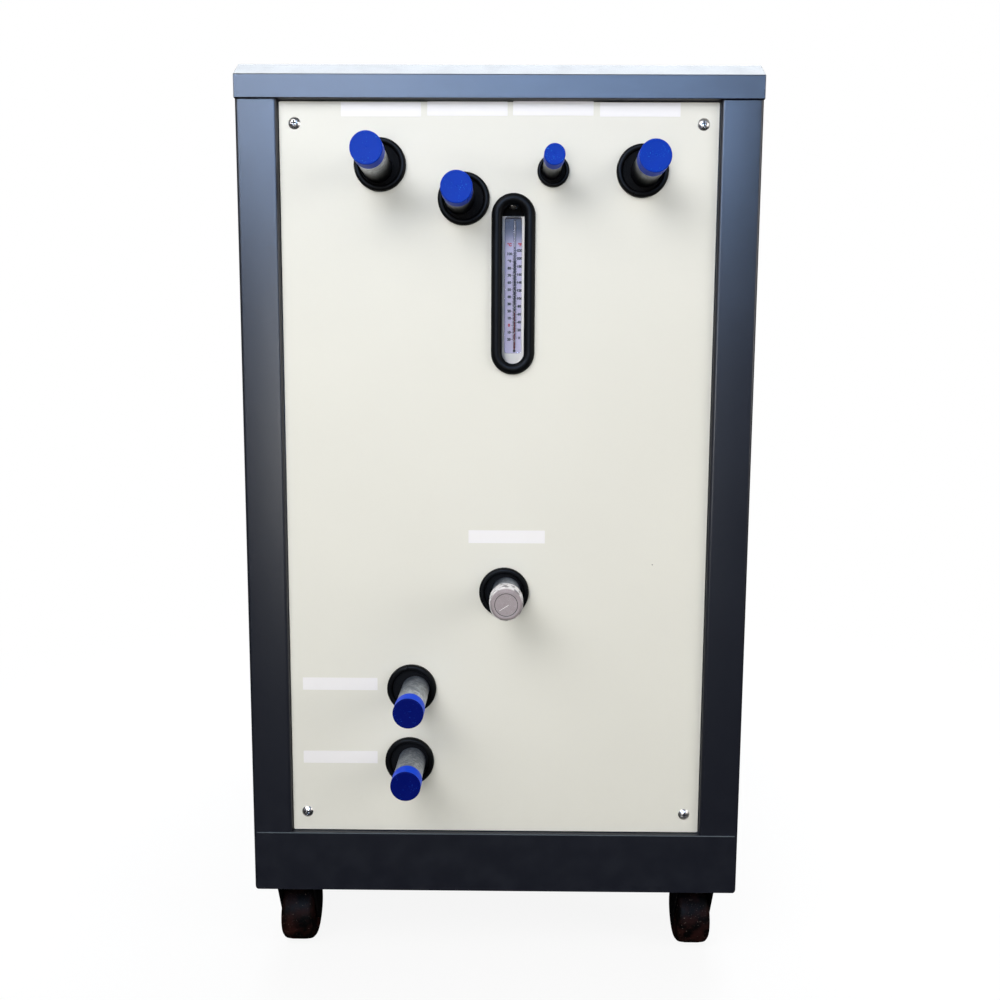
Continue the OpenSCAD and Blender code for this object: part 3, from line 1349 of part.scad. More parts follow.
gland_flange_t = 6;
gland_dome = 13;
gland_tail = 12;
module power_gland() color(black_steel) at_cabinet() translate([gland_x, half_d, gland_z]) pointing_back()
difference() {
    hex_r = 1.35 * gland_thread_r;
    union() {
        up(-frame_t - gland_tail) cylinder(r = gland_thread_r, h = frame_t + gland_tail);
        up(-frame_t - gland_flange_t) cylinder(r = hex_r, h = gland_flange_t, $fn = 6);
        cylinder(r = hex_r, h = gland_flange_t, $fn = 6);
        up(gland_flange_t)
            cylinder(r1 = gland_thread_r * 1.15, r2 = gland_bore_d * 0.7, h = gland_dome);
    }
    up(-frame_t - gland_tail - overrun)
        cylinder(d = gland_bore_d, h = gland_flange_t + gland_dome + frame_t + gland_tail + 2 * overrun);
}

// Castors

race_r = 21;
race_h = 8;
crown_r = 25;
crown_t = 6.2;
kingpin_r = 6;
axle_r = 4;
rivet_h = 1.4;
fork_leg_t = 2;
fork_gap = 0.8;
nut_r = 7.5;
nut_h = 6.5;
bolt_tail = 1;
plate_t = 3;
plate_z = pan_z - plate_t;
race_z = plate_z - race_h;
crown_z = race_z - seat_gap - crown_t;
axle_z = wheel_d / 2;
castor_signs = [[-1, -1], [1, -1], [-1, 1], [1, 1]];

// Places a shape drawn round a castor's swivel axis; every castor trails towards the service side
module at_castor(i) at_cabinet()
    translate([castor_signs[i].x * castor_x, castor_signs[i].y * castor_y, 0]) children();

module castor_plates() color(zinc) for (i = [0:3]) at_castor(i) {
    up(plate_z) linear_extrude(plate_t) difference() {
        rounded(2 * castor_plate_half, 2 * castor_plate_half, bend_r);
        for (x = [-1, 1], y = [-1, 1]) translate([x, y] * castor_bolt_half) circle(castor_bolt_r + seat_gap);
    }
    up(race_z) cylinder(r = race_r, h = race_h);
    up(crown_z - 2 * seat_gap) cylinder(r = kingpin_r, h = race_z - crown_z + 2 * seat_gap);
    up(crown_z - seat_gap - crown_t / 2) cylinder(r = 1.6 * kingpin_r, h = crown_t / 2, $fn = 6);
}
module castor_bolts() for (i = [0:3]) at_castor(i)
    for (x = [-1, 1], y = [-1, 1]) translate([x * castor_bolt_half, y * castor_bolt_half, 0]) {
        up(plate_z - nut_h - bolt_tail)
            cylinder(r = castor_bolt_r, h = bolt_tail + nut_h + plate_t + pan_t);
        up(plate_z - nut_h) cylinder(r = nut_r, h = nut_h - piece_gap, $fn = 6);
        up(pan_top) cylinder(r = nut_r, h = nut_h, $fn = 6);
    }

fork_half = wheel_w / 2 + fork_gap + fork_leg_t;
leg_top_half = 16;
leg_boss_r = 12;
module castor_fork(i) color(black_steel) at_castor(i) {
    up(crown_z) ring(crown_r, kingpin_r + shaft_play, crown_t);
    for (side = [0, 1]) mirror([side, 0, 0]) translate([fork_half - fork_leg_t, 0, 0]) end_plate(fork_leg_t) {
        polygon([[-leg_top_half, crown_z + crown_t / 2], [leg_top_half, crown_z + crown_t / 2],
                 [castor_trail + leg_boss_r, axle_z], [castor_trail - leg_boss_r, axle_z]]);
        translate([castor_trail, axle_z]) circle(leg_boss_r);
    }
    translate([-fork_half, castor_trail, axle_z]) rotate([0, 90, 0]) cylinder(r = axle_r, h = 2 * fork_half);
    for (side = [-1, 1]) translate([side * fork_half, castor_trail, axle_z])
        rotate([0, side * 90, 0]) crown(1.7 * axle_r, rivet_h);
}
module front_left_fork() castor_fork(0);
module front_right_fork() castor_fork(1);
module rear_left_fork() castor_fork(2);
module rear_right_fork() castor_fork(3);

module castor_wheel(i) color(resin) at_castor(i) translate([-wheel_w / 2, castor_trail, axle_z])
    rotate([0, 90, 0]) rotate_extrude() difference() {
        union() {
            square([axle_z - wheel_shoulder_r, wheel_w]);
            translate([0, wheel_shoulder_r]) square([axle_z, wheel_w - 2 * wheel_shoulder_r]);
            for (x = [wheel_shoulder_r, wheel_w - wheel_shoulder_r])
                translate([axle_z - wheel_shoulder_r, x]) circle(wheel_shoulder_r);
        }
        translate([0, -overrun]) square([axle_r + shaft_play, wheel_w + 2 * overrun]);
    }
module front_left_wheel() castor_wheel(0);
module front_right_wheel() castor_wheel(1);
module rear_left_wheel() castor_wheel(2);
module rear_right_wheel() castor_wheel(3);

base_frame();
corner_posts();
top_lid();
pipe_panel();
left_side_panel();
right_side_panel();
control_panel();
service_door();
door_latch();
door_hinges();
zinc_screws();
edge_trims();
port_pipes();
pipe_insulation();
gauge_housing();
clear_windows();
thermometer();
tank_shelf();
water_tank();
tank_lid();
evaporator_coil();
float_valve();
float_arm();
compressor();
condenser();
refrigerant_lines();
pump_casing();
pump_motor();
pump_rotor();
bypass_valve();
bypass_lever();
water_pipework();
electrical_box();
electrical_parts();
temperature_controller();
control_bezels();
main_switch_knob();
start_button();
stop_button();
indicator_lamps();
pressure_gauges();
gauge_needle_left();
gauge_needle_right();
power_gland();
castor_plates();
front_left_fork();
front_right_fork();
rear_left_fork();
rear_right_fork();
front_left_wheel();
front_right_wheel();
rear_left_wheel();
rear_right_wheel();
cold_outlet_cap();
overflow_cap();
makeup_cap();
cold_return_cap();
drain_cap();
cooling_outlet_cap();
cooling_return_cap();
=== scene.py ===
"""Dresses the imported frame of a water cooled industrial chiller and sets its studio."""

import json
import logging
import math
from dataclasses import dataclass, replace
from enum import Enum
from typing import Callable, ClassVar, Iterable, Sequence

import bmesh
import bpy
import numpy as np
from mathutils import Matrix, Vector


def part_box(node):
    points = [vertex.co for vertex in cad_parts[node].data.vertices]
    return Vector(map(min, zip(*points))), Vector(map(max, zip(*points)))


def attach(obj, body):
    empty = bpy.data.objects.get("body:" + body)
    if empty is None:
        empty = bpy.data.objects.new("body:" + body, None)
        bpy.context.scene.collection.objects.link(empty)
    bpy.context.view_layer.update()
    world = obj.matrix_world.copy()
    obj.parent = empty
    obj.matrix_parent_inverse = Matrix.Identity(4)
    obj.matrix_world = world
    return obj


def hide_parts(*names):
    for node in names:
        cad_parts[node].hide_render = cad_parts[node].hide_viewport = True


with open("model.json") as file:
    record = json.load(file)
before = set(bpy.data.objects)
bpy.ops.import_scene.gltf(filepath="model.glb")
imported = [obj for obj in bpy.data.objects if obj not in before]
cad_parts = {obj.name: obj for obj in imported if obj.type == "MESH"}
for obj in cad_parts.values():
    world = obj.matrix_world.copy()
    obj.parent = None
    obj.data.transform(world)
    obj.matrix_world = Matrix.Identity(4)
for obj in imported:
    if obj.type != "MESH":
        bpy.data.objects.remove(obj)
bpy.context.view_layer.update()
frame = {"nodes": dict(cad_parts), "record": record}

MM = 0.001
# Degrees between two faces: above the first their edge stays sharp, and below the second they become one
CREASE = 38.0
FLAT = 0.8
DOUBLES = 0.004 * MM
# Thickness of printed bars, half the thickness of printed letters, and their weight as a share of their size
INK_T = 0.03 * MM
LETTER_T = 0.02 * MM
LETTER_WEIGHT = 0.075
PURE_WHITE = (1.0, 1.0, 1.0, 1.0)
BODY_OF = {node: body for body, nodes in frame["record"]["behaviour"]["bodies"].items() for node in nodes}
PUSH_CAPS = ("cold_outlet_cap", "overflow_cap", "makeup_cap", "cold_return_cap", "cooling_outlet_cap",
             "cooling_return_cap")
Pair = tuple[float, float]
Triple = tuple[float, float, float]
Colour = Triple
Chooser = Callable[[np.ndarray], np.ndarray]
log = logging.getLogger("chiller")


class Axis(Enum):
    """The row axis that a turned piece is turned about."""

    X = 0
    Y = 1
    Z = 2


class Value:
    """A number on a shader socket, with arithmetic that adds Math nodes."""

    def __init__(self, nodes: "Nodes", socket: bpy.types.NodeSocket) -> None:
        """Wraps one output socket of a node."""
        self.nodes = nodes
        self.socket = socket

    def _maths(self, operation: str, *terms: "Value | float") -> "Value":
        """A Math node of this operation on the terms."""
        node = self.nodes.node("ShaderNodeMath", {"operation": operation}, dict(enumerate(terms)))
        return Value(self.nodes, node.outputs[0])

    def __add__(self, other: "Value | float") -> "Value":
        """Sum of this value and another."""
        return self._maths("ADD", self, other)

    def __sub__(self, other: "Value | float") -> "Value":
        """This value less another."""
        return self._maths("SUBTRACT", self, other)

    def __rsub__(self, other: float) -> "Value":
        """A number less this value."""
        return self._maths("SUBTRACT", other, self)

    def __mul__(self, other: "Value | float") -> "Value":
        """Product of this value and another."""
        return self._maths("MULTIPLY", self, other)

    __radd__ = __add__
    __rmul__ = __mul__

    def ramp(self, low: float, high: float) -> "Value":
        """Rises smoothly from 0 where this value is low to 1 where it is high."""
        node = self.nodes.node("ShaderNodeMapRange", {"interpolation_type": "SMOOTHSTEP"},
                               {"Value": self, "From Min": low, "From Max": high})
        return Value(self.nodes, node.outputs[0])


class Nodes:
    """The nodes of a material or of the world."""

    def __init__(self, tree: bpy.types.NodeTree) -> None:
        """Takes a node tree and empties it."""
        self.tree = tree
        tree.nodes.clear()

    def node(self, kind: str, settings: dict | None = None, inputs: dict | None = None) -> bpy.types.Node:
        """Adds a node.

        Args:
            kind: the node's type.
            settings: its properties, which are set first.
            inputs: values or links of its sockets, by name or number.

        Returns:
            The node.
        """
        node = self.tree.nodes.new(kind)
        for key, value in (settings or {}).items():
            setattr(node, key, value)
        for key, value in (inputs or {}).items():
            value = value.socket if isinstance(value, Value) else value
            if isinstance(value, bpy.types.NodeSocket):
                self.tree.links.new(value, node.inputs[key])
            else:
                node.inputs[key].default_value = value
        return node

    def seen_by(self, *rays: str) -> Value:
        """1 where a ray is of one of these kinds, and 0 elsewhere."""
        path = self.node("ShaderNodeLightPath")
        return sum(Value(self, path.outputs[f"Is {ray} Ray"]) for ray in rays)

    def blend(self, factor: Value, first: bpy.types.Node, second: bpy.types.Node) -> bpy.types.Node:
        """Surface or light that goes from first to second as factor goes from 0 to 1."""
        return self.node("ShaderNodeMixShader", {}, {0: factor, 1: first.outputs[0], 2: second.outputs[0]})


class Shader(Nodes):
    """A material's nodes, made from Python expressions on Object coordinates."""

    def __init__(self, name: str) -> None:
        """Starts an empty material of this name."""
        self.material = bpy.data.materials.new(name)
        self.material.use_nodes = True
        super().__init__(self.material.node_tree)
        self.place = self.node("ShaderNodeTexCoord").outputs["Object"]

    def noise(self, scale: float, detail: float = 3.0, stretch: Colour = (1.0, 1.0, 1.0)) -> Value:
        """Cloudy noise from 0 to 1.

        Args:
            scale: patches per metre.
            detail: octaves of finer noise.
            stretch: factors on the three axes; a small one draws the pattern out along that axis.

        Returns:
            The noise.
        """
        place = self.node("ShaderNodeMapping", {}, {"Vector": self.place, "Scale": stretch}).outputs[0]
        noise = self.node("ShaderNodeTexNoise", {}, {"Vector": place, "Scale": scale, "Detail": detail})
        return Value(self, noise.outputs[0])

    def cells(self, scale: float) -> Value:
        """A random value from 0 to 1 in each cell of a crystal pattern with that many cells per metre."""
        cells = self.node("ShaderNodeTexVoronoi", {}, {"Vector": self.place, "Scale": scale})
        return Value(self, self.node("ShaderNodeSeparateColor", {}, {0: cells.outputs["Color"]}).outputs[0])

    def along(self, axis: Axis, vector: bpy.types.NodeSocket) -> Value:
        """A vector's part along an axis."""
        return Value(self, self.node("ShaderNodeSeparateXYZ", {}, {0: vector}).outputs[axis.value])

    def height(self) -> Value:
        """Height above the floor in metres."""
        return self.along(Axis.Z, self.place)

    def depth(self) -> Value:
        """Place along Y in metres."""
        return self.along(Axis.Y, self.place)

    def upward(self) -> Value:
        """How far the surface faces up, from -1 to 1."""
        return self.along(Axis.Z, self.node("ShaderNodeNewGeometry").outputs["Normal"])

    def mix(self, factor: Value, first: object, second: object) -> bpy.types.NodeSocket:
        """Mixes two colours.

        Args:
            factor: 0 for the first, 1 for the second.
            first: a colour or its socket.
            second: a colour or its socket.

        Returns:
            The mixed colour.
        """
        colours = {6: first, 7: second}
        inputs = {key: (*c, 1.0) if isinstance(c, tuple) else c for key, c in colours.items()}
        return self.node("ShaderNodeMix", {"data_type": "RGBA"}, {0: factor, **inputs}).outputs[2]

    def bump(self, height: Value, depth: float, normal: object = None) -> bpy.types.NodeSocket:
        """Tilts the surface as if a height raised it.

        Args:
            height: the height, from 0 to 1.
            depth: the rise in metres at 1.
            normal: the normal to start from, where it isn't the surface's own.

        Returns:
            The tilted normal.
        """
        inputs = {"Height": height, "Distance": depth, "Strength": 1.0}
        if normal is not None:
            inputs["Normal"] = normal
        return self.node("ShaderNodeBump", {}, inputs).outputs[0]

    def ended(self, surface: bpy.types.Node) -> bpy.types.Material:
        """The material, ended in this surface."""
        self.node("ShaderNodeOutputMaterial", {}, {"Surface": surface.outputs[0]})
        return self.material

    def surface(self, **inputs: object) -> bpy.types.Material:
        """Ends the material in one Principled surface.

        Args:
            inputs: its sockets, with underscores for the spaces of their names.

        Returns:
            The material.
        """
        named = {key.replace("_", " "): (*v, 1.0) if isinstance(v, tuple) else v for key, v in inputs.items()}
        return self.ended(self.node("ShaderNodeBsdfPrincipled", {}, named))


@dataclass(frozen=True)
class Finish:
    """A finish with a main colour, whose material is made once, when a piece first asks for it."""

    made: ClassVar[dict["Finish", bpy.types.Material]] = {}
    name: str
    colour: Colour

    def material(self) -> bpy.types.Material:
        """The finish's material."""
        if self not in Finish.made:
            Finish.made[self] = self.make()
        return Finish.made[self]

    def tone(self, factor: float) -> Colour:
        """The main colour times a factor, with no part over 1."""
        return tuple(min(1.0, factor * c) for c in self.colour)

    def make(self) -> bpy.types.Material:
        """Builds the material."""
        raise NotImplementedError


@dataclass(frozen=True)
class PowderCoat(Finish):
    """Baked powder paint: orange peel, a fine grain, faint clouds and dust on top and low down."""

    dust: Colour
    roughness: float = 0.42
    grains: float = 900.0
    peel: float = 0.00012
    dustiness: float = 0.25
    specular: float = 0.5

    def make(self) -> bpy.types.Material:
        """Clouds shade the colour, two noises raise the skin, and dust lightens level and low places."""
        s = Shader(self.name)
        clouds = s.noise(5.0, 4.0)
        grain = s.noise(self.grains, 2.0)
        fine = s.noise(self.grains * 3.2, 1.0)
        shade = s.mix((clouds - 0.5) * 0.5 + 0.5, self.tone(0.93), self.tone(1.06))
        settled = s.upward().ramp(0.4, 1.0) * 0.7 + (1.0 - s.height().ramp(0.1, 0.3)) * 0.35
        dust = settled * s.noise(38.0, 5.0).ramp(0.35, 0.75) * self.dustiness
        speck = s.noise(420.0, 2.0).ramp(0.71, 0.76) * 0.3
        colour = s.mix(dust + speck * self.dustiness, shade, self.dust)
        return s.surface(Base_Color=colour, Roughness=clouds * 0.1 + (self.roughness - 0.05) + dust * 0.3,
                         Normal=s.bump(fine, self.peel * 0.35, s.bump(grain, self.peel)),
                         Specular_IOR_Level=self.specular)


@dataclass(frozen=True)
class PlatedSteel(Finish):
    """Plated or drawn steel: crystal spangle, drawing lines along one axis and dull patches."""

    tarnish: Colour
    roughness: float = 0.36
    spangle: float = 160.0
    lines: Axis = Axis.Y
    wear: float = 0.5
    contrast: float = 0.22
    # Where a painted shade at the root starts and where it is full along Y; None leaves it out
    soot: Pair | None = None

    def make(self) -> bpy.types.Material:
        """Cells vary the grey, lines vary the gloss, clouds tarnish it, and a painted shade darkens its root.
        """
        s = Shader(self.name)
        stretch = tuple(0.04 if axis is self.lines else 1.0 for axis in Axis)
        lines = s.noise(900.0, 3.0, stretch)
        cells = s.cells(self.spangle)
        patches = s.noise(26.0, 5.0).ramp(0.42, 0.72) * self.wear
        dark, light = self.tone(1.0 - self.contrast), self.tone(1.0 + self.contrast)
        bright = s.mix(cells * 0.55 + lines * 0.3, dark, light)
        # Painted shade: darker towards the panel along Y, and more so on the higher pipes
        if self.soot:
            soot = s.depth().ramp(*self.soot) * (s.height().ramp(0.6, 0.8) * 0.8 + 0.2)
            bright = s.mix(soot, bright, self.tone(0.05))
            patches = patches * (1.0 - soot)
        return s.surface(Base_Color=s.mix(patches, bright, self.tarnish), Metallic=1.0 - patches * 0.5,
                         Roughness=lines * 0.16 + patches * 0.3 + (self.roughness - 0.08),
                         Normal=s.bump(lines, 0.00002, s.bump(s.noise(300.0, 2.0), 0.00004)))


@dataclass(frozen=True)
class Moulding(Finish):
    """Moulded plastic or rubber: a soft mottle, a fine skin and small pale scuffs."""

    scuff: Colour
    roughness: float = 0.35
    scuffs: float = 0.15
    skin: float = 0.00004
    glow: float = 0.0
    specular: float = 0.5
    mottle: float = 0.11

    def make(self) -> bpy.types.Material:
        """Clouds shade the colour, thresholded noise scatters scuffs and a fine noise raises the skin."""
        s = Shader(self.name)
        mottle = s.noise(60.0, 3.0)
        shade = s.mix(mottle, self.tone(1 - self.mottle), self.tone(1 + self.mottle))
        marks = s.noise(700.0, 3.0).ramp(0.62, 0.72) * s.noise(90.0, 2.0).ramp(0.45, 0.65) * self.scuffs
        skin = s.bump(s.noise(1500.0, 2.0), self.skin, s.bump(s.noise(120.0, 2.0), self.skin * 3))
        return s.surface(Base_Color=s.mix(marks, shade, self.scuff), Normal=skin,
                         Roughness=mottle * 0.12 + marks * 0.3 + (self.roughness - 0.06),
                         Emission_Color=self.colour, Emission_Strength=self.glow,
                         Specular_IOR_Level=self.specular)


@dataclass(frozen=True)
class SheetSteel(Finish):
    """Ground stainless sheet with lines across and faint weld clouds."""

    def make(self) -> bpy.types.Material:
        """Noise drawn out along X gives the ground lines, and clouds vary the gloss."""
        s = Shader(self.name)
        lines = s.noise(1100.0, 3.0, (0.02, 0.02, 1.0))
        clouds = s.noise(7.0, 4.0)
        return s.surface(Base_Color=s.mix(lines, self.tone(0.8), self.colour), Metallic=1.0,
                         Roughness=lines * 0.12 + clouds * 0.12 + 0.2, Normal=s.bump(lines, 0.000015))


@dataclass(frozen=True)
class ClearSheet(Finish):
    """Thin clear plastic or glass: it lets light straight through and reflects at a slant."""

    gloss: float = 0.05

    def make(self) -> bpy.types.Material:
        """A Fresnel factor mixes a tinted see-through surface with a gloss."""
        s = Shader(self.name)
        fresnel = Value(s, s.node("ShaderNodeFresnel", {}, {"IOR": 1.45}).outputs[0])
        clear = s.node("ShaderNodeBsdfTransparent", {}, {"Color": (*self.colour, 1.0)})
        gloss = s.node("ShaderNodeBsdfAnisotropic", {}, {"Color": PURE_WHITE, "Roughness": self.gloss})
        return s.ended(s.blend(fresnel, clear, gloss))


@dataclass(frozen=True)
class ScaleCard(Finish):
    """The gauge's card: pale plastic with a painted shadow, dark at the top and fading out below."""

    pale: Colour
    low: float
    high: float

    def make(self) -> bpy.types.Material:
        """The painted shadow's dark colour at high fades to the card's pale colour at low, with a faint
        cloud.
        """
        s = Shader(self.name)
        rise = s.height().ramp(self.low, self.high)
        shade = s.mix(rise + (s.noise(90.0, 2.0) - 0.5) * 0.1, self.pale, self.colour)
        return s.surface(Base_Color=shade, Roughness=0.4, Normal=s.bump(s.noise(900.0, 2.0), 0.00001))


@dataclass(frozen=True)
class CastorResin(Finish):
    """Dark moulded resin with reddish road dust, most of it low down, and small chips."""

    dust: Colour
    chip: Colour = (0.22, 0.18, 0.16)

    def make(self) -> bpy.types.Material:
        """Noise breaks up a coat of dust that grows towards the floor."""
        s = Shader(self.name)
        low = 1.0 - s.height().ramp(0.0, 0.07)
        dust = s.noise(70.0, 6.0).ramp(0.38, 0.68) * (low * 0.6 + 0.22)
        chips = s.noise(520.0, 3.0).ramp(0.66, 0.72) * 0.5
        shade = s.mix(dust, self.colour, self.dust)
        return s.surface(Base_Color=s.mix(chips, shade, self.chip), Roughness=dust * 0.3 + 0.5,
                         Normal=s.bump(s.noise(260.0, 5.0), 0.00025), Specular_IOR_Level=0.05)


@dataclass(frozen=True)
class PlumbersCap(Finish):
    """Grey plastic pipe cap: a speckled face, and white paint with dark patches on its collar."""

    paint: Colour
    face: float
    collar: float
    speck: Colour = (0.62, 0.60, 0.62)
    patch: Colour = (0.10, 0.095, 0.11)

    def make(self) -> bpy.types.Material:
        """Paint sets in from the face's depth to the collar's, and thresholded noises speckle both."""
        s = Shader(self.name)
        clouds = s.noise(75.0, 4.0)
        specks = s.noise(1500.0, 2.0).ramp(0.60, 0.68) * 0.45
        face = s.mix(specks, s.mix(clouds, self.tone(0.78), self.tone(1.2)), self.speck)
        worn = s.noise(120.0, 5.0).ramp(0.50, 0.60) * 0.85
        collar = s.mix(worn, self.paint, self.patch)
        back = s.depth().ramp(self.face, self.collar)
        return s.surface(Base_Color=s.mix(back, face, collar), Roughness=specks * 0.3 + 0.36,
                         Normal=s.bump(worn, 0.0001, s.bump(s.noise(700.0, 3.0), 0.00012)))


SLATE = PowderCoat("slate_powder_coat", (0.0075, 0.0085, 0.015), (0.045, 0.050, 0.062), 0.33, 1100.0,
                   0.00008, 0.3)
CREAM = PowderCoat("cream_powder_coat", (0.785, 0.780, 0.725), (0.45, 0.42, 0.35), 0.46, 700.0,
                   0.00004, 0.15, 0.2)
BLACK_PAINT = PowderCoat("black_paint", (0.007, 0.0075, 0.009), (0.07, 0.07, 0.07), 0.38, 500.0, 0.0002, 0.4)
PUMP_PAINT = PowderCoat("blue_machine_paint", (0.030, 0.085, 0.210), (0.14, 0.16, 0.18), 0.36, 350.0,
                        0.0003, 0.6)
# A paler paint for the painted highlight along the skirt's folded edge
FOLD_HIGHLIGHT = PowderCoat("painted_fold_highlight", (0.10, 0.125, 0.15), (0.2, 0.2, 0.2), 0.4, 1100.0, 0.00008, 0.3)
ZINC = PlatedSteel("zinc_plate", (0.58, 0.55, 0.53), (0.36, 0.34, 0.32), 0.24, 420.0, Axis.Z, 0.35)
GALVANISED = PlatedSteel("galvanised_pipe", (0.23, 0.255, 0.29), (0.085, 0.10, 0.125), 0.36, 330.0, Axis.Y,
                         0.6, 0.85)
PORT_PIPE = replace(GALVANISED, name="port_pipe", colour=(0.52, 0.545, 0.58), contrast=0.6)
COPPER = PlatedSteel("copper_tube", (0.72, 0.36, 0.22), (0.30, 0.16, 0.10), 0.30, 60.0, Axis.Z, 0.45)
BRASS = PlatedSteel("brass_casting", (0.72, 0.52, 0.24), (0.38, 0.27, 0.13), 0.36, 240.0, Axis.Z, 0.45)
STAINLESS = SheetSteel("stainless_sheet", (0.63, 0.64, 0.65))
BLUE_CAP = Moulding("blue_cap", (0.0004, 0.034, 0.430), (0.03, 0.38, 0.98), 0.38, 0.6, specular=0.05)
# Lit and shaded copies of the cap blue: painted light for the lower caps' sides, painted shade for their
# faces
SUNLIT_CAP = replace(BLUE_CAP, name="cap_painted_light", colour=(0.0005, 0.060, 0.75), scuffs=0.4)
SHADED_CAP = replace(BLUE_CAP, name="cap_painted_shade", colour=(0.0002, 0.0045, 0.130),
                        scuff=(0.02, 0.10, 0.70), scuffs=0.5)
RUBBER = Moulding("edge_rubber", (0.0025, 0.0025, 0.003), (0.03, 0.033, 0.04), 0.42, 0.3, 0.00006, 0.0, 0.08)
FOAM = Moulding("pipe_foam", (0.003, 0.003, 0.0035), (0.02, 0.02, 0.024), 0.85, 0.5, 0.0003, 0.0, 0.1)
WHITE = Moulding("white_plastic", (0.82, 0.81, 0.81), (0.5, 0.5, 0.5), 0.38, 0.1)
LABEL = Moulding("white_label", (0.885, 0.875, 0.90), (0.72, 0.70, 0.68), 0.5, 0.0, 0.00001, 0.0, 0.3, 0.01)
BLACK = Moulding("black_plastic", (0.016, 0.016, 0.018), (0.10, 0.10, 0.10), 0.38, 0.3)
RED = Moulding("red_plastic", (0.55, 0.018, 0.014), (0.8, 0.4, 0.35), 0.32, 0.2)
GREEN = Moulding("green_plastic", (0.015, 0.30, 0.075), (0.4, 0.7, 0.5), 0.32, 0.2)
AMBER = Moulding("amber_lens", (0.75, 0.34, 0.03), (0.9, 0.7, 0.4), 0.2, 0.1, 0.00002, 0.15)
YELLOW = Moulding("yellow_plate", (0.78, 0.55, 0.02), (0.5, 0.4, 0.1), 0.42, 0.2)
ORANGE = Moulding("orange_float", (0.68, 0.20, 0.03), (0.8, 0.5, 0.3), 0.4, 0.2)
BOARD = Moulding("green_terminals", (0.03, 0.13, 0.06), (0.1, 0.2, 0.1), 0.5, 0.1)
INK = Moulding("black_ink", (0.012, 0.012, 0.014), (0.05, 0.05, 0.05), 0.5, 0.1, 0.000005)
RED_INK = Moulding("red_ink", (0.55, 0.015, 0.02), (0.6, 0.1, 0.1), 0.5, 0.1, 0.000005)
SPIRIT = Moulding("red_spirit", (0.20, 0.004, 0.008), (0.3, 0.02, 0.02), 0.15, 0.1, 0.000005)
DIGITS = Moulding("display_digits", (0.9, 0.06, 0.03), (0.9, 0.2, 0.1), 0.4, 0.0, 0.000005, 1.2)
CLEAR = ClearSheet("clear_window", (0.98, 0.98, 1.0))
RESIN = CastorResin("castor_resin", (0.0012, 0.0010, 0.0010), (0.036, 0.010, 0.008))
FORK_PAINT = CastorResin("castor_fork_paint", (0.0025, 0.0025, 0.003), (0.012, 0.008, 0.007))


def box_of(node: str) -> tuple[np.ndarray, np.ndarray]:
    """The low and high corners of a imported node's box."""
    low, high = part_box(node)
    return np.array(low), np.array(high)


def hyphened(node: str) -> str:
    """A node's name with hyphens, which its piece has."""
    return node.replace("_", "-")


def object_of(name: str, mesh: bpy.types.Mesh) -> bpy.types.Object:
    """A new object in the scene that holds the mesh."""
    piece = bpy.data.objects.new(name, mesh)
    bpy.context.scene.collection.objects.link(piece)
    return piece


def shaded(mesh: bpy.types.Mesh, crease: float) -> None:
    """Shades a mesh smoothly between its edges of more than crease degrees, or flat where crease is 0."""
    mesh.polygons.foreach_set("use_smooth", np.full(len(mesh.polygons), crease > 0))
    mesh.set_sharp_from_angle(angle=math.radians(crease))


def solid_of(name: str, points: np.ndarray, faces: Sequence[Sequence[int]]) -> bpy.types.Object:
    """A piece from points and faces, with doubled points merged and faces turned outwards.

    Args:
        name: the object's name.
        points: array of points, three coordinates each.
        faces: the numbers of each face's points.

    Returns:
        The object.
    """
    mesh = bpy.data.meshes.new(name)
    mesh.from_pydata(points, [], faces)
    bm = bmesh.new()
    bm.from_mesh(mesh)
    bmesh.ops.remove_doubles(bm, verts=bm.verts, dist=DOUBLES)
    bmesh.ops.recalc_face_normals(bm, faces=bm.faces)
    bm.to_mesh(mesh)
    bm.free()
    shaded(mesh, CREASE)
    return object_of(name, mesh)


def grid_surface(name: str, points: np.ndarray, ring: bool = False) -> bpy.types.Object:
    """A surface over a grid of points: each face joins four neighbours of the grid.

    Args:
        name: the object's name.
        points: array of rows, columns and three coordinates; the last column joins the first.
        ring: whether the last row joins the first too.

    Returns:
        The object.
    """
    rows, columns = points.shape[:2]
    i = np.arange(rows if ring else rows - 1)[:, None]
    j = np.arange(columns)[None, :]
    k, m = (i + 1) % rows, (j + 1) % columns
    faces = np.stack([i * columns + j, i * columns + m, k * columns + m, k * columns + j], -1)
    return solid_of(name, points.reshape(-1, 3), faces.reshape(-1, 4).tolist())


def filleted(corners: Sequence[Triple], steps: int = 6, closed: bool = False) -> np.ndarray:
    """A profile whose corners are arcs.

    Each corner is (across, along, radius). Its arc starts and ends on the two edges that meet there, and
    its points follow a quadratic curve between them, which is close to the circle.

    Args:
        corners: the profile's corners.
        steps: the number of spans in an arc.
        closed: whether the last corner joins the first.

    Returns:
        Array of points, two coordinates each.
    """
    p = np.array([c[:2] for c in corners], float)
    out = []
    count = len(corners)
    for index, (_, _, radius) in enumerate(corners):
        ends = not closed and index in (0, count - 1)
        if radius <= 0 or ends:
            out.append(p[index:index + 1])
            continue
        before, after = p[index - 1] - p[index], p[(index + 1) % count] - p[index]
        before, after = before / np.linalg.norm(before), after / np.linalg.norm(after)
        angle = math.acos(float(np.clip(before @ after, -1.0, 1.0)))
        reach = radius / math.tan(angle / 2)
        t = np.linspace(0.0, 1.0, steps + 1)[:, None]
        out.append(p[index] + reach * ((1 - t) ** 2 * before + t ** 2 * after))
    return np.concatenate(out)


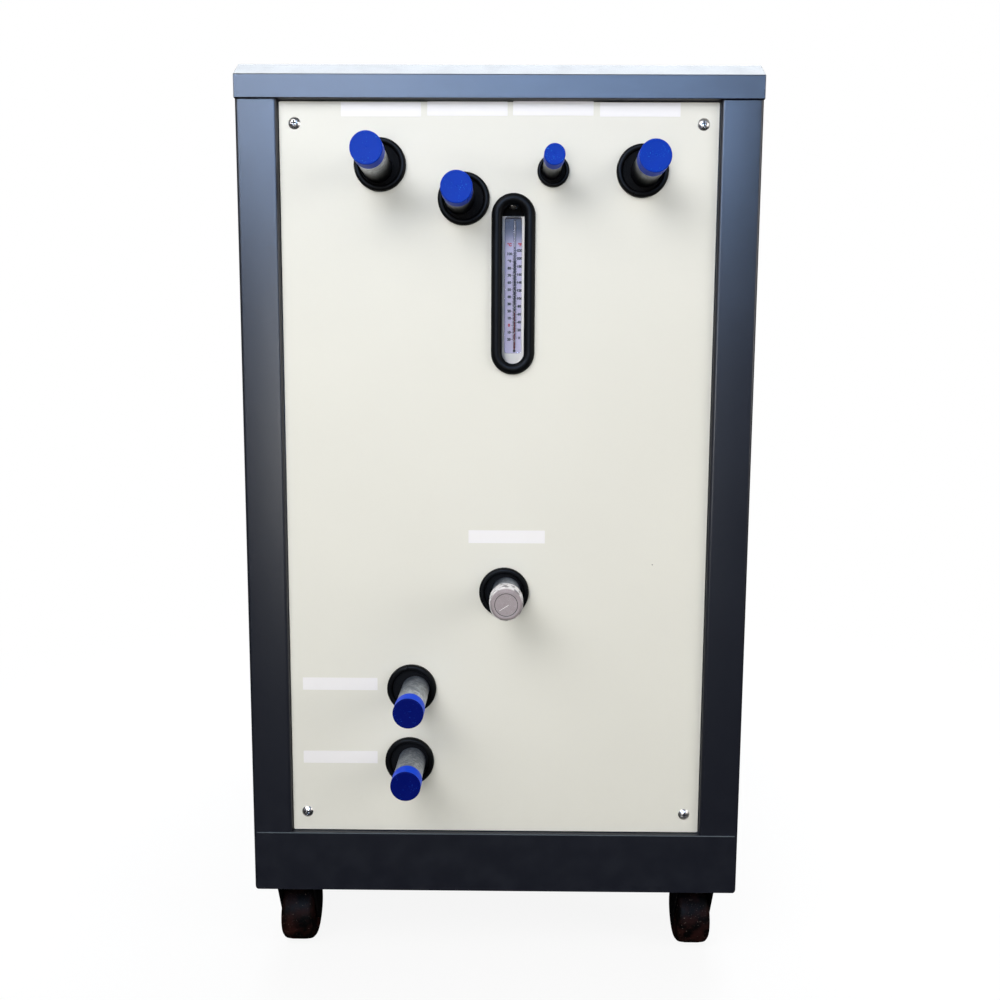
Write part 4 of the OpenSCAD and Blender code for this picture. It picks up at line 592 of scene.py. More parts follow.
def lathe(name: str, profile: np.ndarray, centre: Sequence[float], axis: Axis, ring: bool = False,
          turns: int = 96) -> bpy.types.Object:
    """A turned piece: the profile goes round the axis through centre.

    A point (r, a) of the profile at angle t lies at centre + r (cos t, sin t) across the axis + a along it.

    Args:
        name: the object's name.
        profile: array of radius and place along the axis.
        centre: a point on the axis.
        axis: the direction of the axis.
        ring: whether the profile is closed.
        turns: points round the axis.

    Returns:
        The object.
    """
    t = np.linspace(0.0, 2 * math.pi, turns, endpoint=False)
    points = np.zeros((len(profile), turns, 3))
    across = [(axis.value + 1) % 3, (axis.value + 2) % 3]
    points[..., across[0]] = profile[:, :1] * np.cos(t)
    points[..., across[1]] = profile[:, :1] * np.sin(t)
    points[..., axis.value] = profile[:, 1:]
    return grid_surface(name, points + np.asarray(centre), ring)


def slab(name: str, outline: np.ndarray, front: float, back: float) -> bpy.types.Object:
    """An upright plate: the outline, drawn across and up, stands from front to back along Y.

    Its rows are the outline drawn to a point, the outline at the front, the outline at the back and a point.

    Args:
        name: the object's name.
        outline: array of places across and up.
        front: place of the front face along Y.
        back: place of the back face along Y.

    Returns:
        The object.
    """
    middle = np.broadcast_to(outline.mean(0), outline.shape)
    rows = [(middle, front), (outline, front), (outline, back), (middle, back)]
    points = np.stack([np.stack([o[:, 0], np.full(len(o), y), o[:, 1]], -1) for o, y in rows])
    return grid_surface(name, points)


def rectangle(x: float, z: float, width: float, height: float, radius: float) -> np.ndarray:
    """A rectangle about (x, z) with round corners, drawn across and up."""
    signs = ((-1, -1), (1, -1), (1, 1), (-1, 1))
    return filleted([(x + a * width / 2, z + b * height / 2, radius) for a, b in signs], 5, True)


def bevelled(piece: bpy.types.Object, width: float, segments: int = 2,
             crease: float = CREASE) -> bpy.types.Object:
    """Adds a live bevel to a piece's sharp edges.

    Args:
        piece: the piece.
        width: the bevel's width in metres.
        segments: its spans.
        crease: 0 where the piece is shaded flat, and more where its flats are to stay even beside the bevel.

    Returns:
        The piece.
    """
    bevel = piece.modifiers.new("edges", "BEVEL")
    bevel.width = width
    bevel.segments = segments
    bevel.limit_method = "ANGLE"
    bevel.angle_limit = math.radians(CREASE)
    bevel.harden_normals = crease > 0
    bevel.use_clamp_overlap = True
    return piece


def dress(piece: bpy.types.Object, finish: Finish, node: str, stands_for: bool = True) -> bpy.types.Object:
    """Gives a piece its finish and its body.

    Args:
        piece: the piece.
        finish: its finish.
        node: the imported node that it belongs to.
        stands_for: whether it takes the node's place.

    Returns:
        The piece.
    """
    if not piece.data.materials:
        piece.data.materials.append(finish.material())
    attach(piece, BODY_OF[node])
    if stands_for:
        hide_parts(node)
    log.info("%s rides on %s", piece.name, BODY_OF[node])
    return piece


def painted(piece: bpy.types.Object, finishes: Sequence[Finish], choose: Chooser) -> bpy.types.Object:
    """Gives the faces of a piece different finishes by the place of their middles.

    Args:
        piece: the piece.
        finishes: its finishes.
        choose: takes the middles of the faces and returns the number of each one's finish.

    Returns:
        The piece.
    """
    mesh = piece.data
    for finish in finishes:
        mesh.materials.append(finish.material())
    middles = np.zeros(len(mesh.polygons) * 3)
    mesh.polygons.foreach_get("center", middles)
    mesh.polygons.foreach_set("material_index", choose(middles.reshape(-1, 3)).astype(np.int32))
    return piece


def replica(node: str, finish: Finish, edge: float, *, others: Sequence[Finish] = (),
            choose: Chooser | None = None, crease: float = CREASE, name: str = "") -> bpy.types.Object:
    """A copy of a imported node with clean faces, round edges and smooth curves, which takes its place.

    The copy's loose triangles are merged, flat neighbours become one face, and a bevel rounds the edges.

    Args:
        node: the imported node.
        finish: its finish, or the first of several.
        edge: the width of its round edges in metres.
        others: its other finishes.
        choose: what picks among several finishes by the middles of the faces.
        crease: the angle in degrees above which an edge stays sharp; 0 shades every face flat.
        name: the object's name, where it isn't the node's own with hyphens.

    Returns:
        The object.
    """
    mesh = frame["nodes"][node].data.copy()
    mesh.name = name or hyphened(node)
    mesh.materials.clear()
    bm = bmesh.new()
    bm.from_mesh(mesh)
    bmesh.ops.remove_doubles(bm, verts=bm.verts, dist=DOUBLES)
    bmesh.ops.dissolve_limit(bm, angle_limit=math.radians(FLAT), verts=bm.verts, edges=bm.edges)
    bm.to_mesh(mesh)
    bm.free()
    shaded(mesh, crease)
    for layer in list(mesh.color_attributes):
        mesh.color_attributes.remove(layer)
    piece = object_of(name or hyphened(node), mesh)
    if edge > 0:
        bevelled(piece, edge, crease=crease)
    if choose:
        painted(piece, (finish, *others), choose)
    return dress(piece, finish, node)


def lettering(name: str, words: Iterable[tuple[str, float, float]], size: float, face: float,
              toward: int) -> bpy.types.Object:
    """Raised ink numbers on an upright face, merged into one mesh.

    Args:
        name: the object's name.
        words: the text of each number and its place across and up.
        size: the letters' size in metres.
        face: the place of the printed face along Y.
        toward: -1 where the face looks to the pipe side, 1 where it looks to the service side.

    Returns:
        The object.
    """
    points, faces, start = [], [], 0
    for text, x, z in words:
        curve = bpy.data.curves.new("digits", "FONT")
        curve.body = text
        curve.size = size
        curve.align_x = "CENTER"
        curve.align_y = "CENTER"
        curve.extrude = LETTER_T
        curve.offset = LETTER_WEIGHT * size
        curve.resolution_u = 3
        holder = object_of("digits", curve)
        bpy.context.view_layer.update()
        mesh = bpy.data.meshes.new_from_object(holder.evaluated_get(bpy.context.evaluated_depsgraph_get()))
        flat = np.zeros(len(mesh.vertices) * 3)
        mesh.vertices.foreach_get("co", flat)
        flat = flat.reshape(-1, 3)
        out = face + toward * (flat[:, 2] + LETTER_T)
        points.append(np.stack([x - toward * flat[:, 0], out, z + flat[:, 1]], -1))
        faces += [[start + v for v in p.vertices] for p in mesh.polygons]
        start += len(flat)
        bpy.data.objects.remove(holder)
        bpy.data.meshes.remove(mesh)
        bpy.data.curves.remove(curve)
    return solid_of(name, np.concatenate(points), faces)


def bars(name: str, centres: np.ndarray, across: np.ndarray, up: np.ndarray, face: float,
         toward: int) -> bpy.types.Object:
    """Thin printed bars on an upright face.

    Bar n is the box centres[n] +- across[n] +- up[n], and it stands INK_T out of the face.

    Args:
        name: the object's name.
        centres: place of each bar across and up.
        across: half of each bar's length as a vector across and up.
        up: half of each bar's thickness as a vector across and up.
        face: the place of the printed face along Y.
        toward: -1 where the face looks to the pipe side, 1 where it looks to the service side.

    Returns:
        The object.
    """
    signs = np.array([(-1, -1), (1, -1), (1, 1), (-1, 1)])
    flat = centres[:, None] + signs[None, :, :1] * across[:, None] + signs[None, :, 1:] * up[:, None]
    depth = np.array([0.0, INK_T * toward])[None, :, None]
    x, z = (np.repeat(flat[:, None, :, c], 2, 1) for c in (0, 1))
    points = np.stack([x, np.broadcast_to(face + depth, x.shape), z], -1).reshape(-1, 3)
    box = np.array([(0, 1, 2, 3), (7, 6, 5, 4), (0, 4, 5, 1), (1, 5, 6, 2), (2, 6, 7, 3), (3, 7, 4, 0)])
    faces = (np.arange(len(centres))[:, None, None] * 8 + box).reshape(-1, 4)
    return solid_of(name, points, faces.tolist())


@dataclass
class Cabinet:
    """The sheet-metal cabinet: frame, lid, panels, door, screws and labels."""

    frame_edge: float = 0.9 * MM
    panel_edge: float = 0.5 * MM
    # The skirt's painted highlight: how much shorter than the skirt, its drop below the top and its height
    fold: Triple = (8.0 * MM, 0.9 * MM, 1.1 * MM)
    fold_out: float = 0.15 * MM
    screw_inset: Triple = (17.5 * MM, 23.0 * MM, 24.0 * MM)
    recess_half: Pair = (3.1 * MM, 0.66 * MM)
    recess_depth: float = 1.3 * MM
    leaf_reach: float = 34.0 * MM
    label_size: Pair = (91.5 * MM, 15.5 * MM)
    label_t: float = 0.15 * MM
    label_lift: float = 0.02 * MM
    speck: Pair = (187.0 * MM, 413.0 * MM)
    speck_r: float = 0.8 * MM

    def build(self) -> None:
        """Makes every piece of the cabinet."""
        for node in ("base_frame", "corner_posts", "top_lid", "tank_shelf"):
            replica(node, SLATE, self.frame_edge)
        for node in ("pipe_panel", "control_panel"):
            replica(node, CREAM, self.panel_edge)
        for node in ("left_side_panel", "right_side_panel"):
            replica(node, CREAM, self.panel_edge, crease=0.0)
        self.door()
        replica("door_latch", BLACK, 0.8 * MM, name="latch-handle")
        replica("door_hinges", ZINC, 0.3 * MM, name="hinge-fixed-leaves")
        replica("zinc_screws", ZINC, 0.25 * MM, name="panel-screws")
        self.skirt_fold()
        self.recesses()
        self.labels()
        self.panel_speck()

    def skirt_fold(self) -> None:
        """A pale line along the skirt's folded top edge: a painted highlight where the edge catches light."""
        low, high = box_of("base_frame")
        short, drop, height = self.fold
        line = rectangle(0, high[2] - drop, high[0] - low[0] - short, height, 0.3 * MM)
        piece = slab("skirt-fold", line, low[1] - self.fold_out, low[1] + 0.1 * MM)
        dress(piece, FOLD_HIGHLIGHT, "base_frame", False)

    def recesses(self) -> None:
        """Painted shade in the cross recesses of the pipe panel's screws: two dark bars across each other."""
        low, high = box_of("pipe_panel")
        inset, rise, drop = self.screw_inset
        places = [(x, z) for x in (low[0] + inset, high[0] - inset) for z in (low[2] + rise, high[2] - drop)]
        half = np.array((self.recess_half, self.recess_half[::-1]) * len(places))
        piece = bars("screw-recess-shade", np.repeat(np.array(places), 2, 0), half * (1, 0), half * (0, 1),
                     low[1] - self.recess_depth, -1)
        dress(piece, INK, "zinc_screws", False)

    def door(self) -> None:
        """The door in cream, with its moving hinge leaves, which lie outside the sheet, in zinc."""
        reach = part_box("service_door")[0][0] + self.leaf_reach
        sheet_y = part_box("door_hinges")[0][1] + 0.05 * MM
        replica("service_door", CREAM, self.panel_edge, others=(ZINC,), crease=0.0,
                choose=lambda m: (m[:, 1] > sheet_y) & (m[:, 0] < reach))

    def labels(self) -> None:
        """Blank white labels on the pipe panel, above or beside their ports."""
        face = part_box("pipe_panel")[0][1] - self.label_lift
        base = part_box("base_frame")[0][2]
        places = {"cold-outlet": (-134.4, 937.5), "overflow": (-35.8, 938.5), "makeup": (62.0, 939.0),
                  "cold-return": (160.8, 938.0), "drain": (11.8, 445.9), "cooling-outlet": (-190.7, 262.8),
                  "cooling-return": (-191.5, 169.8)}
        for name, (x, z) in places.items():
            outline = rectangle(x * MM, base + z * MM, *self.label_size, 0.8 * MM)
            piece = slab("label-" + name, outline, face - self.label_t, face)
            dress(bevelled(piece, 0.04 * MM, 1), LABEL, "gauge_housing", False)

    def panel_speck(self) -> None:
        """The dark speck on the pipe panel: a flat blot whose radius waves three times round."""
        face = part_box("pipe_panel")[0][1]
        x, z = self.speck[0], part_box("base_frame")[0][2] + self.speck[1]
        angle = np.linspace(0.0, 2 * math.pi, 10, endpoint=False)
        radius = self.speck_r * (1.0 + 0.3 * np.sin(3 * angle))
        outline = np.stack([x + radius * np.cos(angle), z + 0.7 * radius * np.sin(angle)], -1)
        piece = slab("panel-speck", outline, face - 0.12 * MM, face - self.label_lift)
        dress(piece, INK, "edge_trims", False)


@dataclass
class Ports:
    """The seven ports: pipe, foam sleeve, rubber trim and cap of each, and the slot's trim."""

    cap_round: float = 1.1 * MM
    cap_wall: float = 0.85 * MM
    cap_dish: float = 0.12 * MM
    cap_floor: float = 1.2 * MM
    gate_r: float = 1.1 * MM
    lit_side: float = 0.9 * MM
    drain_wall: float = 3.25 * MM
    drain_taper: float = 3.5 * MM
    scratch: tuple[Pair, Pair, Pair] = ((-2.5, -3.5), (5.2, 3.4), (-0.14, 0.2))
    # Distances out from the panel face at which the port pipes' painted shade starts and where it is full
    soot: Pair = (68.0 * MM, 26.0 * MM)

    def build(self) -> None:
        """Makes the caps by formula, and dresses the pipes, sleeves and trims."""
        for node in PUSH_CAPS:
            self.push_cap(node)
        self.drain_cap("drain_cap")
        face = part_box("pipe_panel")[0][1]
        # The port pipes get a painted shade towards the panel
        replica("port_pipes", replace(PORT_PIPE, soot=tuple(face - reach for reach in self.soot)), 0.4 * MM)
        replica("pipe_insulation", FOAM, 0.6 * MM, name="pipe-sleeves")
        replica("edge_trims", RUBBER, 0.35 * MM)

    def measure(self, node: str) -> tuple[float, float, Triple]:
        """Measures a cap.

        Args:
            node: the cap's node.

        Returns:
            Its radius, its length and the middle of its face.
        """
        low, high = box_of(node)
        x, _, z = (low + high) / 2
        return (high[0] - low[0]) / 2, high[1] - low[1], (x, low[1], z)

    def push_cap(self, node: str) -> None:
        """A blue push-on cap with a dished face, a gate mark and a rolled mouth.

        It is turned from a closed profile of radius and depth behind its face.

        Args:
            node: the cap's node.
        """
        radius, length, centre = self.measure(node)
        gate, dish, inner = self.gate_r, self.cap_dish, radius - self.cap_wall
        profile = filleted([(0, 0.45 * MM, 0), (gate * 0.8, 0.42 * MM, 0.1 * MM), (gate, dish, 0.12 * MM),
                            (radius * 0.82, dish, 1.2 * MM), (radius * 0.88, 0, 0.6 * MM),
                            (radius, 0, self.cap_round), (radius, length - 2.2 * MM, 0.2 * MM),
                            (radius, length, 0.35 * MM), (inner, length, 0.3 * MM),
                            (inner, self.cap_floor, 0.4 * MM), (0, self.cap_floor, 0)])
        piece = lathe(hyphened(node), profile, centre, Axis.Y)
        if node.startswith("cooling"):
            # Painted shade on the lower caps' faces, painted light on their sides
            painted(piece, (SHADED_CAP, SUNLIT_CAP), lambda m: m[:, 1] > centre[1] + self.lit_side)
        dress(piece, BLUE_CAP, node)

    def drain_cap(self, node: str) -> None:
        """The grey cap: a broad chamfer round its face, a raised band and a thick wall, turned as the others.

        A dark groove runs round its face, and a pale scratch crosses it.

        Args:
            node: the cap's node.
        """
        radius, length, centre = self.measure(node)
        outer, inner, taper = radius - 0.4 * MM, radius - self.drain_wall, self.drain_taper
        profile = filleted([(0, 0.2 * MM, 0), (radius - 6.5 * MM, 0.2 * MM, 0.2 * MM),
                            (radius - 6 * MM, 0, 0.2 * MM), (radius - taper, 0, 0.8 * MM),
                            (outer, taper, 1.2 * MM), (outer, length * 0.45, 0.3 * MM),
                            (radius, length * 0.48, 0.3 * MM),
                            (radius, length, 0.6 * MM), (inner, length, 0.5 * MM),
                            (inner, self.cap_floor, 0.4 * MM), (0, self.cap_floor, 0)])
        face = centre[1]
        finish = PlumbersCap("drain_cap_plastic", (0.33, 0.285, 0.305), (0.84, 0.82, 0.85), face + 1.5 * MM,
                             face + taper)
        dress(lathe("drain-cap", profile, centre, Axis.Y), finish, node)
        near, far = radius - 6.9 * MM, radius - 6.1 * MM
        groove = filleted([(near, 0.5 * MM, 0), (near, 0.1 * MM, 0.1 * MM), (far, 0.1 * MM, 0.1 * MM),
                           (far, 0.5 * MM, 0)], 3, True)
        dress(lathe("drain-cap-ring", groove, centre, Axis.Y, True), INK, node, False)
        middle, along, across = (np.array([pair]) * MM for pair in self.scratch)
        piece = bars("drain-cap-scratch", middle + np.array((centre[0], centre[2])), along, across,
                     face + 0.2 * MM, -1)
        dress(piece, LABEL, node, False)


@dataclass
class LevelGauge:
    """The level gauge behind the slot: housing, window, printed card and thermometer tube."""

    digit: float = 4.0 * MM
    number_x: Pair = (-4.4 * MM, 7.7 * MM)
    celsius: Pair = (37.0 * MM, -62.6 * MM)
    fahrenheit: Pair = (41.0 * MM, -60.8 * MM)
    heading: float = 47.5 * MM
    tick_half: Pair = (1.3 * MM, 0.8 * MM)
    tick_gap: float = 1.0 * MM
    tick_t: float = 0.28 * MM
    card_t: float = 1.0 * MM
    # Heights above the card's middle where its painted shadow starts and where it is full
    card_ramp: Pair = (40.0 * MM, 68.0 * MM)
    # Width and height of the painted shadow on the housing, and the rise of its middle above the card's top
    pad: Triple = (26.0 * MM, 23.4 * MM, 12.0 * MM)
    tube_x: float = 1.9 * MM
    tube_r: float = 1.3 * MM
    tube_top: float = 75.5 * MM
    shade: Triple = (45.0 * MM, 29.0 * MM, -29.0 * MM)
    core: float = 0.8 * MM
    bulb_r: float = 1.6 * MM
    bulb_drop: float = 76.0 * MM

    def build(self) -> None:
        """Makes the gauge's pieces and the glasses of the dials."""
        replica("gauge_housing", WHITE, 0.8 * MM)
        replica("clear_windows", CLEAR, 0.3 * MM)
        low, high = box_of("thermometer")
        x, _, z = (low + high) / 2
        self.top_pad(x, high[2])
        face = high[1] - self.card_t
        # The card's top gets a painted shadow, dark as the shade under the slot's trim
        ends = (z + place for place in self.card_ramp)
        card = ScaleCard("scale_card", (0.005, 0.004, 0.022), (0.64, 0.57, 0.71), *ends)
        outline = rectangle(x, z, high[0] - low[0], high[2] - low[2], 3.4 * MM)
        dress(slab("scale-card", outline, face, high[1]), card, "thermometer")
        self.print_scale(x, z, face)
        self.tube(x + self.tube_x, z, face)

    def top_pad(self, x: float, top: float) -> None:
        """A dark sheet on the housing above the window: a painted shadow where the slot's trim shades it.

        Args:
            x: its middle across.
            top: the card's top.
        """
        width, height, rise = self.pad
        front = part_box("gauge_housing")[0][1]
        outline = rectangle(x, top + rise, width, height, 0.3 * MM)
        # A thin dark sheet in the pipe foam's finish: painted shadow
        piece = slab("gauge-top-shadow", outline, front - 0.35 * MM, front - 0.05 * MM)
        dress(piece, FOAM, "gauge_housing", False)

    def print_scale(self, x: float, z: float, face: float) -> None:
        """Ticks and numbers of both scales, evenly spaced between their ends.

        The left one counts by tens from 100 down through a red 0 to 20 below it, and the right one by
        twenties from 220 down to 0.

        Args:
            x: the middle of the card across.
            z: the middle of the card up.
            face: the card's face along Y.
        """
        left, right = (x + place for place in self.number_x)
        rows = z + np.interp(range(13), (0, 12), self.celsius)
        words = [(str(abs(100 - 10 * n)), left, rows[n]) for n in range(13) if n != 10]
        words += [(str(220 - 20 * n), right, z + np.interp(n, (0, 11), self.fahrenheit)) for n in range(12)]
        dress(lettering("scale-numbers", words, self.digit, face, -1), INK, "thermometer", False)
        marks = [("0", left, rows[10]), ("°C", left, z + self.heading), ("°F", right, z + self.heading)]
        dress(lettering("scale-headings", marks, self.digit * 1.15, face, -1), RED_INK, "thermometer", False)
        sides = (self.ticks(x, z, self.celsius, 61, -1), self.ticks(x, z, self.fahrenheit, 56, 1))
        centres, across = (np.concatenate(parts) for parts in zip(*sides))
        up = np.broadcast_to(np.array((0.0, self.tick_t)), centres.shape)
        dress(bars("scale-ticks", centres, across, up, face, -1), INK, "thermometer", False)

    def ticks(self, x: float, z: float, ends: Pair, count: int, side: int) -> tuple[np.ndarray, np.ndarray]:
        """Ticks of one scale beside the tube, each fifth one longer.

        Args:
            x: the middle of the card across.
            z: the middle of the card up.
            ends: places of the first and last tick above z.
            count: the number of ticks.
            side: -1 for the left scale, 1 for the right one.

        Returns:
            The ticks' middles and their half lengths, across and up.
        """
        n = np.arange(count)
        half = np.where(n % 5 == 0, *self.tick_half)
        across = x + self.tube_x + side * (self.tick_gap + half)
        up = z + np.interp(n, (0, count - 1), ends)
        return np.stack([across, up], -1), np.stack([half, np.zeros(count)], -1)

    def tube(self, x: float, z: float, face: float) -> None:
        """The glass tube, a white painted highlight at its top, and the spirit in it with its bulb, each
        turned about the tube's middle.

        Args:
            x: the middle of the tube across.
            z: the middle of the card up.
            face: the card's face along Y.
        """
        r, top, low = self.tube_r, self.tube_top, -self.bulb_drop
        y = face - r - 0.1 * MM
        foot = low + 3 * MM
        glass = filleted([(0, top, 0), (r, top, 0.9 * MM), (r, foot, 0.6 * MM), (0, foot, 0)], 6)
        dress(lathe("thermometer-tube", glass, (x, y, z), Axis.Z, turns=32), CLEAR, "thermometer")
        neck, high, split = self.shade
        # The white bore at the top is a painted highlight; below it come the dark neck and column and the red
        # spirit
        columns = (("bore", top - 1 * MM, neck, 0.45 * MM, LABEL), ("neck", neck, high, 0.3 * MM, INK),
                   ("column", high, split, self.core, INK), ("spirit", split, low, self.core * 0.9, SPIRIT))
        for name, start, end, width, finish in columns:
            part = filleted([(0, start, 0), (width, start, 0.1 * MM), (width, end, 0.1 * MM), (0, end, 0)], 3)
            dress(lathe("thermometer-" + name, part, (x, y, z), Axis.Z, turns=32), finish, "thermometer")
        angle = np.linspace(0.0, math.pi, 13)
        ball = np.stack([self.bulb_r * np.sin(angle), low + self.bulb_r * np.cos(angle)], -1)
        dress(lathe("thermometer-bulb", ball, (x, y - 0.2 * MM, z), Axis.Z, turns=32), INK, "thermometer")


@dataclass
class ServiceSide:
    """What the control panel holds: controller, dials, switch, buttons, lamps and gland."""

    terminal_h: float = 27.0 * MM
    switch_plate: float = 12.0 * MM
    lamp_splits: Pair = (-30.0 * MM, 30.0 * MM)
    dial_sweep: float = 270.0
    dial_marks: int = 28
    dial_depth: float = 8.0 * MM
    dial_rim: float = 3.3 * MM
    dial_tick: Pair = (2.6 * MM, 1.4 * MM)
    display_depth: float = 1.56 * MM

    def build(self) -> None:
        """Makes the service side's pieces."""
        replica("electrical_box", ZINC, 0.4 * MM)
        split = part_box("electrical_parts")[0][2] + self.terminal_h
        replica("electrical_parts", WHITE, 0.6 * MM, others=(BOARD,), choose=lambda m: m[:, 2] < split)
        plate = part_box("main_switch_knob")[1][0] + self.switch_plate
        replica("control_bezels", ZINC, 0.5 * MM, others=(YELLOW,), choose=lambda m: m[:, 0] < plate)
        for node, finish in (("main_switch_knob", RED), ("start_button", GREEN), ("stop_button", RED),
                             ("power_gland", BLACK)):
            replica(node, finish, 0.5 * MM)
        for node in ("gauge_needle_left", "gauge_needle_right"):
            replica(node, INK, 0.1 * MM)
        replica("indicator_lamps", GREEN, 0.4 * MM, others=(AMBER, RED),
                choose=lambda m: np.digitize(m[:, 0], self.lamp_splits))
        self.dials()
        self.controller()

    def dials(self) -> None:
        """The dial cases and what is on each dial."""
        replica("pressure_gauges", BLACK, 0.8 * MM)
        low, high = box_of("pressure_gauges")
        radius = (high[2] - low[2]) / 2
        z = (low[2] + high[2]) / 2
        for side, x in (("left", high[0] - radius), ("right", low[0] + radius)):
            self.dial(side, np.array((x, z)), radius, high[1] - self.dial_depth)

    def dial(self, side: str, centre: np.ndarray, radius: float, face: float) -> None:
        """A white face, ticks on an arc and numbers inside them.

        Tick n points at the angle 225 - sweep n / (marks - 1) degrees, mirrored because the dial is seen
        from the service side. Each third one is long and has a number.

        Args:
            side: the dial's side.
            centre: its middle across and up.
            radius: the radius of its case.
            face: the place of its face along Y.
        """
        rim, front = radius - self.dial_rim, 0.35 * MM
        disc = filleted([(0, front, 0), (rim, front, 0.1 * MM), (rim, 0.05 * MM, 0), (0, 0.05 * MM, 0)])
        plate = lathe(f"dial-face-{side}", disc, (centre[0], face, centre[1]), Axis.Y)
        dress(plate, WHITE, "pressure_gauges", False)
        printed = face + front + 0.02 * MM
        n = np.arange(self.dial_marks)
        angle = np.radians(225.0 - np.linspace(0.0, self.dial_sweep, self.dial_marks))
        spoke = np.stack([-np.cos(angle), np.sin(angle)], -1)
        half = np.where(n[:, None] % 3 == 0, *self.dial_tick)
        side_way = np.stack([-spoke[:, 1], spoke[:, 0]], -1) * 0.25 * MM
        middles = centre + spoke * (0.80 * radius - half)
        ticks = bars(f"dial-ticks-{side}", middles, spoke * half, side_way, printed, 1)
        dress(ticks, INK, "pressure_gauges", False)
        words = [(str(2 * k), *(centre + spoke[3 * k] * 0.56 * radius)) for k in range(10)]
        dress(lettering(f"dial-numbers-{side}", words, 5.0 * MM, printed, 1), INK, "pressure_gauges", False)

    def controller(self) -> None:
        """The controller with a lit display and keys."""
        node = "temperature_controller"
        replica(node, BLACK, 0.8 * MM)
        low, high = box_of(node)
        x, _, z = (low + high) / 2
        width = high[0] - low[0]
        words = [("12.0", x, z + 0.18 * width)]
        digits = lettering("controller-digits", words, 30 * MM, high[1] - self.display_depth, 1)
        dress(digits, DIGITS, node, False)
        outline = rectangle(0, 0, width / 7 - 1.4 * MM, width / 9 - 1.4 * MM, 1.2 * MM)
        for n in range(4):
            place = np.array((x + (n - 1.5) * width / 5, z - 0.3 * width))
            key = slab(f"controller-key-{n + 1}", outline + place, high[1] - 0.3 * MM, high[1] - 0.8 * MM)
            dress(bevelled(key, 0.15 * MM), WHITE, node, False)


@dataclass
class Machinery:
    """What the cabinet holds: tank, coil, compressor, condenser, pump, valves and pipework."""

    foot_h: float = 15.95 * MM
    ball_r: float = 38.0 * MM

    def build(self) -> None:
        """Dresses the machines, each with its finish and the width of its round edges in millimetres."""
        table = {
            "water_tank": (STAINLESS, 0.5), "tank_lid": (STAINLESS, 0.5), "evaporator_coil": (COPPER, 0.0),
            "float_valve": (BRASS, 0.3), "condenser": (BLACK_PAINT, 0.8), "refrigerant_lines": (COPPER, 0.2),
            "pump_casing": (PUMP_PAINT, 0.9), "pump_motor": (PUMP_PAINT, 0.9), "pump_rotor": (BRASS, 0.3),
            "bypass_valve": (BRASS, 0.8), "bypass_lever": (RED, 0.4), "water_pipework": (GALVANISED, 0.3),
        }
        for node, (finish, edge) in table.items():
            replica(node, finish, edge * MM)
        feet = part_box("compressor")[0][2] + self.foot_h
        replica("compressor", BLACK_PAINT, 0.8 * MM, others=(RUBBER,), choose=lambda m: m[:, 2] < feet)
        low, high = box_of("float_arm")
        ball = np.array(((low[0] + high[0]) / 2, high[1] - self.ball_r, low[2] + self.ball_r))
        replica("float_arm", ZINC, 0.2 * MM, others=(ORANGE,),
                choose=lambda m: np.linalg.norm(m - ball, axis=1) < self.ball_r + 1 * MM)


@dataclass
class Castors:
    """The four castors: plate, fork and a wheel turned with a tread, shoulders and hub."""

    shoulder: float = 13.0 * MM
    hub_r: float = 13.0 * MM
    bore_r: float = 4.05 * MM
    web_sunk: float = 2.0 * MM

    def build(self) -> None:
        """Makes the castors' pieces."""
        replica("castor_plates", ZINC, 0.3 * MM)
        for corner in ("front_left", "front_right", "rear_left", "rear_right"):
            replica(corner + "_fork", FORK_PAINT, 0.5 * MM)
            self.wheel(corner + "_wheel")

    def wheel(self, node: str) -> None:
        """A wheel, turned about X from a closed profile.

        The profile runs along the bore, out over the hub and its sunk web, round the shoulder and across
        the tread.

        Args:
            node: the wheel's node.
        """
        low, high = box_of(node)
        radius, half = (high[2] - low[2]) / 2, (high[0] - low[0]) / 2
        s, web = self.shoulder, half - self.web_sunk
        side = [(self.bore_r, half, 0.3 * MM), (self.hub_r - 3 * MM, half, 0.6 * MM),
                (self.hub_r, web, 0.8 * MM), (radius - s - 2 * MM, web, 1.2 * MM),
                (radius - s, half - 0.1 * MM, 1.5 * MM), (radius - s * 0.45, half, 5 * MM),
                (radius - s * 0.08, half - s * 0.30, 7 * MM), (radius, half - s, 8 * MM)]
        other = [(r, -a, f) for r, a, f in reversed(side)]
        profile = filleted(side + other, 6, True)
        dress(lathe(hyphened(node), profile, (low + high) / 2, Axis.X, True), RESIN, node)


